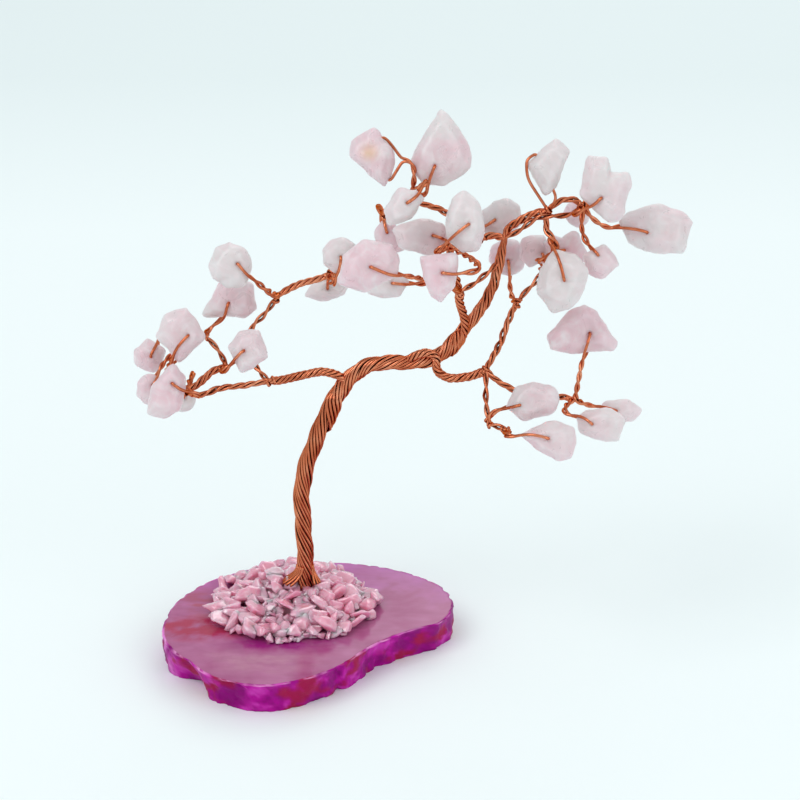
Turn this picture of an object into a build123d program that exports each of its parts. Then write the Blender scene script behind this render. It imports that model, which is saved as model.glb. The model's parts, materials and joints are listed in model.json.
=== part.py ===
from build123d import *
import math
import os

os.makedirs("parts", exist_ok=True)

# Copper wire, in millimetres
WIRE_D = 0.5
PACKING = 0.78
LOBE_DEPTH = 0.2
JOIN_GAP = 0.05

# Lay of the twisted bundles: length of one turn, lobes round the bundle and degrees between two rings
TRUNK_PITCH = 22.0
TRUNK_LOBES = 7
TRUNK_STEP = 60.0
LIMB_STRANDS = 7
LIMB_PITCH = 13.0
LIMB_LOBES = 6
LIMB_STEP = 72.0
STEM_STRANDS = 4
STEM_PITCH = 8.0
STEM_LOBES = 3
STEM_STEP = 90.0
TWIG_PITCH = 5.0
TWIG_STEP = 90.0
TWIG_PULL = 0.5
KNOT_WRAP = 1.7

# Drilled quartz chips
BORE_CLEARANCE = 0.06
LEG_GAP = 0.3
LEG_SHOULDER = 0.7
TWIST_GAP = 1.1
CHIP_LEAN = 23.0
GIRDLE = 0.34
FRONT_FACE = 0.62
BACK_FACE = 0.56
ROCK = 12.0

# Agate slice and the planted foot
SLICE_T = 6.0
SLICE_LEAN = 0.3
FOOT_X = -0.8
FOOT_Y = 7.5
BED_SIDES = 10
BED_FOOT_R = 10.6
BED_SHOULDER = 2.25
BED_H = 2.8
PLANT_GAP = 0.1
SEAT_GAP = 0.03
ROOT_RISE = 2.6
ROOT_INSET = 0.1

WIRE_SIDE = WIRE_D * math.sqrt(math.pi) / 2
BORE_R = WIRE_SIDE / math.sqrt(2) + BORE_CLEARANCE
FOOT = Vector(FOOT_X, FOOT_Y, SLICE_T)


def above_foot(x, y, z):
    """Point measured from the middle of the trunk's foot on the slice."""
    return FOOT + Vector(x, y, z)


def bundle_radius(strands):
    """Outer radius of this many strands packed in a round bundle."""
    return WIRE_D / 2 * math.sqrt(strands / PACKING)


STEM_R = bundle_radius(STEM_STRANDS)
KNOT_R = STEM_R * KNOT_WRAP

# Trunk line with the strands that are left at each share of its length
TRUNK_LINE = [
    (0, 0, 0.2), (0, 0, 12), (0, 0, 24), (2.5, -0.5, 32), (7, -1, 41.5), (11.5, -1.5, 45.5), (17, -1.5, 46),
    (23, -1, 47), (27, 0, 51), (29.5, 0.5, 54), (32.5, 1, 60), (33.8, 1.5, 65.8),
]
TRUNK_STRANDS = [(0, 26), (0.5, 26), (0.57, 20), (0.74, 19), (0.82, 14), (0.9, 10), (1, 8)]
TRUNK_R = bundle_radius(TRUNK_STRANDS[0][1])

# Knots where stems and twigs part
KNOTS = {
    "left": (-5.5, -2.5, 43), "left_up": (-4, 2.5, 56.5), "left_back": (5, 6.5, 59), "left_out": (-19.5, -3.5, 41.5),
    "left_mid": (-12.5, -3, 46), "left_high": (-16.5, 0, 50.5), "left_tip": (-21.5, 0.5, 47),
    "centre": (26.5, -3.5, 59.5), "centre_front": (21, -13.5, 65.5), "centre_mid": (24.5, -8, 69),
    "centre_top": (18.5, -3.5, 76.5), "centre_left": (14, -2.5, 72.5),
    "right": (34, 1.5, 67), "right_back": (29.8, 3.6, 66.2), "right_up": (41, 0, 72.5), "right_low": (42.5, -2.5, 65.5),
    "right_tip": (47, 0, 73),
    "low": (31, -3.5, 45.5), "low_up": (36.5, 1.5, 56), "low_high": (40.5, 3.5, 61), "low_out": (46, -5.5, 41),
    "low_front": (31.5, -9.5, 38), "low_end": (34.6, -12, 38),
}

# Knot on the end of the trunk
TOP_KNOT = "right"

# Limbs: knot at the end, then the line from the trunk
LIMBS = {
    "left_limb": ("left", [(7, -1, 41.5), (4.5, -1.5, 44.5), (1.5, -2, 44.2), (-1, -2.5, 43.8), (-3.5, -2.5, 43.2)]),
    "centre_limb": ("centre", [(27.5, 0, 51.5), (27, -1.2, 55), (26.5, -2.5, 57.5)]),
    "low_limb": ("low", [(23, -1, 47), (22.8, -2.5, 45), (24.5, -3.2, 44), (26.5, -3.5, 44), (29, -3.5, 44.5)]),
}

# Sprays: stems as start knot, end knot and the points between, then the chips that hang from them
SPRAYS = {
    "left_upper_spray": [
        ("left", "left_up", [(-7.5, -0.5, 44.5), (-9, 1.5, 47.5), (-8.5, 2.5, 50.5), (-6, 2.5, 53.5)]),
        ("left_up", "left_back", [(0, 4.5, 58), (3, 5.7, 58.4)]),
    ],
    "left_lower_spray": [
        ("left", "left_out", [(-11, -3.5, 42.5), (-14.5, -4, 42), (-16.5, -4, 41.2)]),
        ("left_out", "left_mid", [(-17, -3, 43), (-15.5, -3, 44.5)]),
    ],
    "left_tip_spray": [
        ("left_mid", "left_high", [(-14.5, -1.5, 49)]),
        ("left_high", "left_tip", [(-19, 1, 49)]),
    ],
    "centre_front_spray": [("centre", "centre_front", [(25, -8.5, 62.5), (23, -12, 65)])],
    "centre_mid_spray": [("centre", "centre_mid", [(26, -5.5, 62.5), (25, -7.5, 65.5)])],
    "centre_top_spray": [
        ("centre_mid", "centre_top", [(25.5, -5.5, 71), (24.5, -3.5, 73), (22, -3.5, 74.3), (20, -3.5, 75)]),
        ("centre_top", "centre_left", [(16.5, -4, 75.5), (15, -3.5, 74)]),
    ],
    "right_upper_spray": [
        ("right", "right_back", [(32, 3, 67)]),
        ("right", "right_up", [(34.5, 1.5, 68.6), (36, 1, 70), (38, 0.5, 71.5)]),
    ],
    "right_low_spray": [("right_up", "right_low", [(41, -0.5, 69), (42, -1.5, 67.5)])],
    "right_tip_spray": [("right_up", "right_tip", [(43.5, 0, 74.3), (45.5, 0, 74.2)])],
    "low_upper_spray": [
        ("low", "low_up", [(32.5, -2.5, 48), (34, -0.5, 50.5), (35, 0.5, 53.5)]),
        ("low_up", "low_high", [(38, 2.5, 57.5), (40, 3.3, 59.5)]),
    ],
    "low_outer_spray": [("low", "low_out", [(33, -3.5, 43.5), (35, -3.5, 42.3), (37, -3.5, 41.4), (43, -4.5, 41)])],
    "low_front_spray": [
        ("low", "low_front", [(31, -5.5, 42.5), (31, -7.5, 41)]),
        ("low_front", "low_end", [(33, -10.6, 38.2)]),
    ],
}

# Outlines of the tumbled chips in a box two wide and two high, anticlockwise
OUTLINES = {
    "egg": [(0, 1), (-0.6, 0.75), (-1, 0), (-0.85, -0.6), (-0.2, -1), (0.6, -0.9), (1, -0.2), (0.75, 0.6)],
    "drop": [(0.1, 1), (-0.4, 0.4), (-1, -0.35), (-0.55, -0.9), (0.15, -1), (1, -0.55), (1, 0), (0.4, 0.75)],
    "hexagon": [(0, 1), (-1, 0.5), (-1, 0), (0.7, -1), (0.95, -0.55), (1, 0.2), (0.3, 0.85)],
    "wedge": [(-1, 0.9), (-0.9, 0.5), (-0.25, -0.7), (0.3, -1), (1, -0.25), (0.9, 1)],
    "heart": [(0.4, 1), (-0.35, 0.6), (-1, 0.1), (-0.85, -0.3), (-0.2, -1), (0.3, -0.7), (1, 0.55)],
    "notched": [(-0.75, 1), (-1, -0.2), (-0.4, -0.55), (0.2, -1), (0.65, -0.9), (1, 0.2), (0.85, 0.5), (0.1, 0.5),
                (0, 0.95)],
    "slab": [(-0.7, 0.75), (-1, 0.4), (-0.8, -0.5), (-0.35, -0.75), (0.2, -1), (0.7, -1), (1, 0.2), (0.8, 0.65),
             (0.2, 1)],
    "cap": [(0.05, 1), (-0.35, 0.75), (-0.65, 0.2), (-1, -0.3), (-0.9, -0.9), (-0.2, -1), (0.9, -0.85), (1, -0.5),
            (0.75, -0.1), (0.4, 0.75)],
    "oval": [(0.05, 1), (-0.6, 0.6), (-1, -0.4), (-0.25, -1), (0.8, -0.5), (1, 0.1), (0.85, 0.7)],
    "pebble": [(0.1, 1), (-0.7, 0.8), (-1, 0), (-0.7, -0.75), (0, -1), (0.75, -0.7), (1, 0.1), (0.7, 0.8)],
    "block": [(-0.5, 0.9), (-1, 0.15), (-0.35, -1), (0.2, -0.8), (1, -0.25), (0.55, 1)],
    "fish": [(-0.4, 0.8), (-1, 0.45), (-0.4, -0.35), (0.3, -1), (0.75, -0.95), (1, -0.15), (0.9, 0.65), (0.25, 1)],
    "boot": [(0.35, 1), (-0.7, 0.25), (-1, -0.8), (-0.25, -1), (0.65, -0.7), (1, 0.5)],
}

# Chips: outline, centre, width by height by thickness, roll, yaw, hole, way the wire leaves, spray and knot
# A last value gives the direction of a bore that runs across the chip in place of front to back
CHIPS = {
    "L1": ("egg", (-11.5, -1.5, 63.5), (7, 7.5, 4.4), 0, 8, (1, 0), -44, "left_upper_spray", "left_up"),
    "L2": ("wedge", (-11.5, 4, 54.5), (8.5, 7.5, 4.2), 60, -6, (-0.5, 0), -127, "left_tip_spray", "left_high"),
    "L3": ("block", (-20, -4, 52), (7.5, 8.5, 4), 12, 5, (1.3, -0.2), -122, "left_tip_spray", "left_tip"),
    "L4": ("block", (-26, 3.5, 45), (5.5, 5.5, 3.6), 40, -12, (0.8, 0), 80, "left_tip_spray", "left_tip"),
    "L5": ("boot", (-22, -9, 44), (6.5, 9, 4), 0, 4, (0.8, 1.2), -25, "left_lower_spray", "left_out"),
    "L6": ("pebble", (-25.5, -3.5, 42), (4.5, 4.8, 3.2), 20, 10, (0.4, 0.6), 60, "left_tip_spray", "left_tip"),
    "L7": ("pebble", (-20.5, 2.5, 37.5), (4.2, 4, 3.2), 70, 0, (0.2, 0.3), 70, "left_lower_spray", "left_out"),
    "L8": ("block", (-8.5, -7.5, 50.5), (6.5, 7, 4), 0, -5, (-0.5, 0), -135, "left_lower_spray", "left_mid"),
    "C1": ("oval", (4, 9.5, 55), (7.5, 4, 3.4), 5, 0, (0.3, 0), 80, "left_upper_spray", "left_back"),
    "C2": ("pebble", (6.5, 3.5, 63.5), (6, 5.5, 3.6), 30, 6, (0, -0.5), -105, "left_upper_spray", "left_back"),
    "C3": ("oval", (11.5, -18.5, 69.5), (10.5, 7.8, 4.6), 8, 10, (0, -0.3), -15, "centre_front_spray", "centre_front"),
    "C4": ("oval", (14.5, -6.5, 62), (7, 4.8, 3.6), 170, 0, (0.8, 0), 0, "centre_front_spray", "centre_front"),
    "C5": ("wedge", (15, 1.5, 67.5), (4.8, 5.8, 3.4), 185, -8, (-0.3, 0.4), 115, "centre_top_spray", "centre_left"),
    "C6": ("slab", (20, -4.5, 69.5), (9, 5.8, 3.6), 0, 6, (1.8, 0), -25, "centre_mid_spray", "centre_mid"),
    "C7": ("boot", (17, -10.5, 76.5), (5.2, 7, 3.6), 150, 12, (0.4, 0.6), 40, "centre_top_spray", "centre_top"),
    "C8": ("hexagon", (12, -2.5, 82.5), (7, 9.5, 4.4), 0, -8, (2.2, -0.9), 12, "centre_top_spray", "centre_top", 102),
    "C9": ("drop", (23, -0.5, 83.5), (9.7, 12.5, 5), 0, 4, (-1, -3.2), -107, "centre_top_spray", "centre_top"),
    "C10": ("egg", (27, -13, 75), (6, 9.8, 4), 4, -6, (0.8, -0.5), -140, "centre_mid_spray", "centre_mid"),
    "C11": ("pebble", (33.5, 7.5, 68.5), (7.3, 6, 3.8), 25, 6, (-1.2, -0.3), 200, "right_upper_spray", "right_back"),
    "C12": ("wedge", (22.5, -19, 67.5), (5.8, 7.6, 3.8), 0, -8, (1, 0.9), 5, "centre_mid_spray", "centre_mid"),
    "R2": ("pebble", (35, 11.5, 60), (6, 6, 3.8), 10, 0, (0, -0.6), -85, "low_upper_spray", "low_up"),
    "R3": ("block", (39.5, 6.5, 63), (5.6, 5.6, 3.6), 75, 6, (0.8, -0.6), -75, "low_upper_spray", "low_high"),
    "R4": ("heart", (41, 0, 80), (6.8, 8.8, 4.2), 0, 6, (-0.8, -0.6), 203, "right_upper_spray", "right_up", 113),
    "R5": ("notched", (50, -5.5, 78), (8, 10.5, 4.2), 0, -6, (-0.6, -1.6), -148, "right_tip_spray", "right_tip"),
    "R6": ("slab", (59, 0.5, 69), (12, 8.2, 4.4), 0, 8, (-2, -0.6), 168, "right_tip_spray", "right_tip"),
    "R7": ("egg", (43, -8.5, 63), (8, 10, 4.6), 165, -5, (0.5, 0.2), 112, "right_low_spray", "right_low"),
    "R8": ("notched", (44.5, 3.5, 64.5), (6, 6.6, 3.6), 40, 4, (-0.6, -0.3), 200, "right_low_spray", "right_low"),
    "R9": ("block", (50, -3, 64.5), (5.6, 5.6, 3.6), 100, 0, (-0.8, 1), 128, "right_tip_spray", "right_tip"),
    "R10": ("pebble", (46.5, 8.5, 69), (4.2, 4.2, 3.2), 50, 0, (0.2, 0.3), 60, "right_tip_spray", "right_tip"),
    "D1": ("cap", (47, -2.5, 52.5), (11.7, 8, 4.4), -3, 5, (1, -0.9), -104, "low_outer_spray", "low_out"),
    "D2": ("oval", (38.5, -11, 43), (8.5, 6.3, 3.8), 0, -8, (-1.8, -0.8), 195, "low_front_spray", "low_front"),
    "D3": ("fish", (41, -16.5, 38), (9.4, 6.2, 3.8), 0, 6, (-0.3, 0.6), 174, "low_front_spray", "low_end"),
    "D4": ("slab", (50, -11.5, 39), (8, 5.2, 3.6), 0, -4, (-1.5, 0), 160, "low_outer_spray", "low_out"),
    "D5": ("oval", (54, -3.5, 38), (6.8, 4, 3.2), 170, 0, (-1, 0), 168, "low_outer_spray", "low_out"),
}

# Loose quartz gravel: chips in each ring, then ring radius, share of the ring that is filled, chip width and height
GRAVEL_COUNT = {"gravel_outer": 14, "gravel_middle": 10, "gravel_upper": 7, "gravel_top": 5}
BED_TOP_R = TRUNK_R + BED_SHOULDER
BED_RUN = BED_FOOT_R - BED_TOP_R
GRAVEL = {
    "gravel_outer": (BED_TOP_R + 1.33 * BED_RUN, 0.87, 0.53 * BED_RUN, 3.0),
    "gravel_middle": (BED_TOP_R + 0.75 * BED_RUN, 0.84, 0.49 * BED_RUN, 2.6),
    "gravel_upper": (BED_TOP_R + 0.28 * BED_RUN, 0.78, 0.42 * BED_RUN, 2.3),
    "gravel_top": (BED_TOP_R - 0.44 * BED_SHOULDER, 0.65, 0.84 * BED_SHOULDER, 1.9),
}
SHARDS = [
    [(-0.8, -0.3, 0), (-0.2, -0.8, 0), (0.7, -0.5, 0), (0.6, 0.6, 0), (-0.5, 0.7, 0), (-1, 0.1, 0.45), (0.1, -1, 0.5),
     (1, 0, 0.5), (0, 1, 0.4), (-0.5, -0.2, 1), (0.35, -0.4, 0.9), (0.2, 0.5, 1)],
    [(-0.6, -0.7, 0), (0.5, -0.8, 0), (0.8, 0.4, 0), (-0.3, 0.8, 0), (-1, -0.1, 0.5), (0.2, -1, 0.4), (1, 0.1, 0.6),
     (-0.1, 1, 0.5), (-0.4, 0, 1), (0.4, -0.3, 1), (0.4, 0.4, 0.8)],
]

# Agate slice: rim of the polished top, as arcs through every other point
SLICE_RIM = [
    (-25.2, -0.5), (-24.2, -8), (-19.6, -14.5), (-14.5, -20.4), (-5.5, -22.6), (2.2, -19), (9, -11.6), (16.6, -4),
    (22.6, -0.6), (25.3, 6.5), (22.8, 14.2), (15.5, 20), (4, 23.1), (-8, 21.8), (-17.5, 16.4), (-23.2, 8.5),
]


def skin(rings, flat_bands=False):
    """Closed faces over rings of equally many corners: a lid on each end ring and bands between."""
    faces = [Face(Wire.make_polygon(rings[0][::-1])), Face(Wire.make_polygon(rings[-1]))]
    return faces + bands(rings, flat_bands)


def bands(rings, flat_bands=False):
    """Open faces between neighbouring rings, four-cornered where they are flat and three-cornered where twisted."""
    faces = []
    for near, far in zip(rings, rings[1:]):
        for i in range(len(near)):
            j = (i + 1) % len(near)
            if flat_bands:
                faces.append(Face(Wire.make_polygon([near[i], near[j], far[j], far[i]])))
                continue
            for corners in ([near[i], near[j], far[j]], [near[i], far[j], far[i]]):
                faces.append(Face(Wire.make_polygon(corners)))
    return faces


def carried_planes(edge, first, last, count, x_dir):
    """Planes square to an edge between two shares of it, each carried on from the one before without twist."""
    planes = []
    for k in range(count + 1):
        share = first + (last - first) * k / count
        along = (edge % share) * (1 if last > first else -1)
        x_dir = (x_dir - along * x_dir.dot(along)).normalized()
        planes.append(Plane(edge @ share, x_dir=x_dir, z_dir=along))
    return planes


def lobed_ring(plane, radius, lobes, turn):
    """Corners of a bundle's section: ridges with valleys between, turned about the plane's middle."""
    corners = []
    for k in range(2 * lobes):
        reach = radius if k % 2 == 0 else radius * (1 - LOBE_DEPTH)
        angle = math.radians(turn + 180 * k / lobes)
        corners.append(plane.from_local_coords(Vector(reach * math.cos(angle), reach * math.sin(angle), 0)))
    return corners


def clear_share(edge, shares, half_width, balls):
    """First of the shares of an edge where a round end of this half width stands clear of all the balls."""
    for share in shares:
        face = Plane(edge @ share, z_dir=edge % share)
        rim = [face.from_local_coords(Vector(half_width, 0, 0).rotate(Axis.Z, 45 * k)) for k in range(8)]
        if all((point - middle).length >= radius + JOIN_GAP for point in rim for middle, radius in balls):
            return share
    return shares[-1]


def twisted_bundle(edge, first, last, radius_at, lobes, pitch, step):
    """Twisted bundle of wires along an edge, in flat facets that follow the lay."""
    run = edge.length * (last - first)
    count = max(2, round(run / pitch * 360 / step))
    side = Vector(0, 1, 0) if abs((edge % first).Y) < 0.9 else Vector(1, 0, 0)
    rings = []
    for k, plane in enumerate(carried_planes(edge, first, last, count, side)):
        share = first + (last - first) * k / count
        rings.append(lobed_ring(plane, radius_at(share), lobes, -360 * run / pitch * k / count))
    return Solid(Shell(skin(rings)))


def line_through(points):
    """One smooth edge through the points."""
    with BuildLine() as route:
        if len(points) > 2:
            Spline(*points)
        else:
            Line(*points)
    return route.edges()[0]


def trunk_radius(share):
    """Radius of the trunk at a share of its length, as strands leave it."""
    for (low, many), (high, fewer) in zip(TRUNK_STRANDS, TRUNK_STRANDS[1:]):
        if share <= high:
            return bundle_radius(many + (fewer - many) * (share - low) / (high - low))
    return bundle_radius(TRUNK_STRANDS[-1][1])


def knot_ball(name):
    """Middle and radius of a knot."""
    return (above_foot(*KNOTS[name]), KNOT_R)


def save(name, part):
    """Name one piece and write it."""
    part.label = name
    export_step(part, f"parts/{name}.step")


def wound_knot(name):
    """Knot of wrapped wire as a many-sided ball."""
    golden = (1 + math.sqrt(5)) / 2
    scale = KNOT_R / math.sqrt(1 + golden ** 2)
    corners = []
    for a in (-scale, scale):
        for b in (-golden * scale, golden * scale):
            corners += [Vector(0, a, b), Vector(a, b, 0), Vector(b, 0, a)]
    with BuildPart() as knot:
        ConvexPolyhedron([above_foot(*KNOTS[name]) + corner for corner in corners])
    return knot.part.solid()


# Agate slice: sawn aslant, so the rind leans back under the front
with BuildPart() as agate_slice:
    with BuildSketch(Plane.XY.offset(SLICE_T)):
        with BuildLine():
            for k in range(0, len(SLICE_RIM), 2):
                ThreePointArc(SLICE_RIM[k], SLICE_RIM[k + 1], SLICE_RIM[(k + 2) % len(SLICE_RIM)])
        make_face()
    extrude(amount=SLICE_T * math.sqrt(1 + SLICE_LEAN ** 2), dir=(0, SLICE_LEAN, -1))
save("agate_slice", agate_slice.part)

# Glue bed: a low faceted mound on the slice with room for the trunk
bed_rings = []
for height, apothem in ((0, BED_FOOT_R), (BED_H, BED_TOP_R)):
    corner_r = apothem / math.cos(math.pi / BED_SIDES)
    ring = []
    for k in range(BED_SIDES):
        angle = math.tau * (k + 0.5) / BED_SIDES
        ring.append(above_foot(corner_r * math.cos(angle), corner_r * math.sin(angle), height))
    bed_rings.append(ring)
with BuildPart() as glue_bed:
    add(Solid(Shell(skin(bed_rings, flat_bands=True))))
    with BuildSketch(Plane(FOOT)):
        RegularPolygon(TRUNK_R + PLANT_GAP, BED_SIDES, major_radius=False)
    extrude(amount=BED_H + 1, mode=Mode.SUBTRACT)
save("glue_bed", glue_bed.part)

# Gravel rings: shards that lie on the slice, on the slopes of the bed and on its top
SLOPE = math.degrees(math.atan2(BED_H, BED_RUN))
for layer, (name, (ring_r, fill, width, height)) in enumerate(GRAVEL.items()):
    count = GRAVEL_COUNT[name]
    length = math.tau * ring_r / count * fill
    with BuildPart() as gravel:
        for k in range(count):
            angle = 360 * (k + 0.5 * (layer % 2)) / count
            side = 360 / BED_SIDES * round(angle * BED_SIDES / 360)
            away = ring_r * math.cos(math.radians(angle - side))
            lean = SLOPE if BED_TOP_R < away < BED_FOOT_R else 0
            rise = min(BED_H, max(0, BED_H * (BED_FOOT_R - away) / BED_RUN))
            spot = above_foot(ring_r * math.cos(math.radians(angle)), ring_r * math.sin(math.radians(angle)), rise)
            tangent = Vector(0, 1, 0).rotate(Axis.Z, side)
            normal = Vector(0, 0, 1).rotate(Axis((0, 0, 0), tangent), lean)
            seat = Plane(spot, x_dir=tangent, z_dir=normal).offset(SEAT_GAP)
            grown = 1 + 0.09 * math.sin(2.4 * k + layer)
            turn = angle - side + 24 * math.sin(5.1 * k)
            points = []
            for x, y, z in SHARDS[(k + layer) % 2]:
                local = Vector(x * length / 2 * grown, y * width / 2 / grown, z * height * grown)
                points.append(seat.from_local_coords(local.rotate(Axis.Z, turn)))
            ConvexPolyhedron(points)
    save(name, gravel.part)

# Trunk: one tapering twisted bundle
trunk_edge = line_through([above_foot(*point) for point in TRUNK_LINE])
with BuildPart() as trunk:
    add(twisted_bundle(trunk_edge, 0, 1, trunk_radius, TRUNK_LOBES, TRUNK_PITCH, TRUNK_STEP))
save("trunk", trunk.part)
trunk_balls = [(trunk_edge @ (k / 160), trunk_radius(k / 160)) for k in range(161)]

# Root ends: strands that splay from the trunk's foot over the top of the bed, between the top gravel
root_count = GRAVEL_COUNT["gravel_top"]
with BuildPart() as root_ends:
    for k in range(root_count):
        heading = Vector(1, 0, 0).rotate(Axis.Z, 360 * k / root_count)
        inner = TRUNK_R + PLANT_GAP + WIRE_SIDE
        outer = BED_TOP_R - ROOT_INSET
        low = BED_H + SEAT_GAP + WIRE_SIDE / 2
        places = [(inner, low + ROOT_RISE), (inner, low + ROOT_RISE * 0.45), ((inner + outer) / 2, low), (outer, low)]
        tangents = [Vector(0, 0, -1), heading * 0.35 + Vector(0, 0, -1), heading, heading]
        across = heading.cross(Vector(0, 0, 1))
        rings = []
        for (out, up), along in zip(places, tangents):
            rise = across.cross(along.normalized())
            middle = above_foot(0, 0, up) + heading * out
            ring = []
            for i, j in ((-1, -0.5), (1, -0.5), (1, 0.5), (-1, 0.5)):
                ring.append(middle + across * (WIRE_SIDE * i) + rise * (WIRE_SIDE * j))
            rings.append(ring)
        add(Solid(Shell(skin(rings))))
save("root_ends", root_ends.part)

# Limbs: twisted bundles that leave the trunk and end in a knot
limb_r = bundle_radius(LIMB_STRANDS)
for name, (knot, points) in LIMBS.items():
    edge = line_through([above_foot(*point) for point in points + [KNOTS[knot]]])
    first = clear_share(edge, [k / 100 for k in range(90)], limb_r, trunk_balls)
    last = clear_share(edge, [1 - k / 100 for k in range(90)], 0, [knot_ball(knot)])
    bundle = twisted_bundle(edge, first, last, lambda share: limb_r, LIMB_LOBES, LIMB_PITCH, LIMB_STEP)
    save(name, Compound([bundle, wound_knot(knot)]))


def chip_plane(name):
    """Plane of a chip's outline, leaning back and yawed, with its outward side to the front."""
    middle, yaw = above_foot(*CHIPS[name][1]), CHIPS[name][4]
    lean = math.radians(CHIP_LEAN)
    facing = Vector(0, -math.cos(lean), math.sin(lean)).rotate(Axis.Z, yaw)
    return Plane(middle, x_dir=Vector(1, 0, 0).rotate(Axis.Z, yaw), z_dir=facing)


def chip_outline(name, share=1.0):
    """Corners of a chip's outline in its own plane."""
    outline, size, roll = CHIPS[name][0], CHIPS[name][2], CHIPS[name][3]
    corners = [Vector(x * size[0] / 2, y * size[1] / 2, 0) * share for x, y in OUTLINES[outline]]
    return [corner.rotate(Axis.Z, roll) for corner in corners]


def reach_to_rim(name, start, angle, spread=0):
    """Furthest distance from a point inside a chip to its outline, over a fan of directions."""
    corners = chip_outline(name)
    furthest = 0
    for k in range(-4, 5):
        way = Vector(1, 0, 0).rotate(Axis.Z, angle + spread * k / 4)
        for a, b in zip(corners, corners[1:] + corners[:1]):
            side = b - a
            cross = way.X * side.Y - way.Y * side.X
            if abs(cross) < 1e-9:
                continue
            gap = a - start
            distance = (gap.X * side.Y - gap.Y * side.X) / cross
            share = (gap.X * way.Y - gap.Y * way.X) / cross
            if 0 <= share <= 1 and distance > furthest:
                furthest = distance
    return furthest


def bore_axis(name):
    """Direction of a chip's bore: from back to front, or across the chip."""
    plane = chip_plane(name)
    if len(CHIPS[name]) < 10:
        return plane.z_dir
    return (plane.x_dir * math.cos(math.radians(CHIPS[name][9])) + plane.y_dir * math.sin(math.radians(CHIPS[name][9])))


def make_chip(name):
    """Tumbled chip: two smaller faces, a girdle band round the outline and a drilled bore."""
    plane, thickness, hole = chip_plane(name), CHIPS[name][2][2], CHIPS[name][5]
    rings = []
    for height, share in ((-0.5, BACK_FACE), (-GIRDLE / 2, 1), (GIRDLE / 2, 1), (0.5, FRONT_FACE)):
        section = plane.offset(thickness * height)
        rings.append([section.from_local_coords(corner) for corner in chip_outline(name, share)])
    drill = Plane(plane.from_local_coords(Vector(*hole, 0)), z_dir=bore_axis(name))
    with BuildPart() as chip:
        add(Solid(Shell(skin(rings, flat_bands=True))))
        with Locations(Location(drill)):
            Cylinder(BORE_R, 4 * max(CHIPS[name][2]), mode=Mode.SUBTRACT)
    save(name, chip.part)


def make_twig(name):
    """Twisted pair of wires from a knot to a chip, whose two ends part and meet again through the bore."""
    plane, size, hole, leave, knot = chip_plane(name), CHIPS[name][2], CHIPS[name][5], CHIPS[name][6], CHIPS[name][8]
    start = Vector(*hole, 0)
    mouth = plane.from_local_coords(start)
    out = plane.x_dir * math.cos(math.radians(leave)) + plane.y_dir * math.sin(math.radians(leave))
    bore = bore_axis(name)
    rim = reach_to_rim(name, start, leave, 2 * ROCK)
    ends = [size[2] / 2, size[2] / 2]
    if len(CHIPS[name]) > 9:
        ends = [reach_to_rim(name, start, CHIPS[name][9] + turn) + WIRE_D for turn in (0, 180)]
    half = WIRE_SIDE / 2
    rim = max(rim, 3 * WIRE_D)
    split = rim + TWIST_GAP
    side = out.cross(bore)

    # Loop rings from the split along the front leg, through the bore and back along the rear leg
    legs = []
    for sign, end in ((1, ends[0]), (-1, ends[1])):
        high = end + LEG_GAP + half
        leg = [(split, half), (rim * LEG_SHOULDER, high), (0, end + half)]
        legs.append([(away, sign * up) for away, up in leg])
    path = legs[0] + legs[1][::-1]
    path = [mouth + out * away + bore * up for away, up in path]
    loop = []
    for k, point in enumerate(path):
        if k in (0, len(path) - 1):
            along = out * (-1 if k == 0 else 1)
        else:
            along = ((point - path[k - 1]).normalized() + (path[k + 1] - point).normalized()).normalized()
        outer = along.cross(side) * half
        loop.append([point - outer - side * half, point - outer + side * half, point + outer + side * half,
                     point + outer - side * half])

    # Twisted pair from the split back to the knot
    fork = mouth + out * split
    middle, radius = knot_ball(knot)
    pull = max(2 * WIRE_D, (fork - middle).length * TWIG_PULL)
    with BuildLine() as route:
        Bezier(fork, fork + out * pull, middle)
    edge = route.edges()[0]
    last = clear_share(edge, [1 - k / 100 for k in range(96)], 0, [knot_ball(knot)])
    turns = edge.length * last / TWIG_PITCH
    count = max(2, round(turns * 360 / TWIG_STEP))
    rings = [[loop[0][0], loop[0][3], loop[0][2], loop[0][1], loop[-1][2], loop[-1][3]]]
    for k, square in enumerate(carried_planes(edge, 0, last, count, bore)):
        if k == 0:
            continue
        turn = -math.tau * turns * (k - 1) / count
        ring = []
        for i, j in ((0, -1), (2, -1), (2, 1), (0, 1), (-2, 1), (-2, -1)):
            x, y = i * half, j * half
            spun = Vector(x * math.cos(turn) - y * math.sin(turn), x * math.sin(turn) + y * math.cos(turn), 0)
            ring.append(square.from_local_coords(spun))
        rings.append(ring)
    faces = [Face(Wire.make_polygon(rings[-1]))] + bands(rings) + bands(loop, flat_bands=True)
    return Solid(Shell(faces))


# Sprays: stems from knot to knot with a knot at the end of each, and a twig for each chip
for name, stems in SPRAYS.items():
    wires = []
    for begin, end, points in stems:
        edge = line_through([above_foot(*point) for point in [KNOTS[begin]] + points + [KNOTS[end]]])
        first = clear_share(edge, [k / 100 for k in range(90)], 0, [knot_ball(begin)])
        last = clear_share(edge, [1 - k / 100 for k in range(90)], 0, [knot_ball(end)])
        wires.append(twisted_bundle(edge, first, last, lambda share: STEM_R, STEM_LOBES, STEM_PITCH, STEM_STEP))
        wires.append(wound_knot(end))
        if begin == TOP_KNOT and end == stems[0][1]:
            wires.append(wound_knot(begin))
    for chip, row in CHIPS.items():
        if row[7] == name:
            wires.append(make_twig(chip))
    save(name, Compound(wires))

for name in CHIPS:
    make_chip(name)
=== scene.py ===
import json
import math
import random
import bmesh
import bpy
import numpy as np
from mathutils import Matrix, Vector, noise
from mathutils.bvhtree import BVHTree


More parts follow.
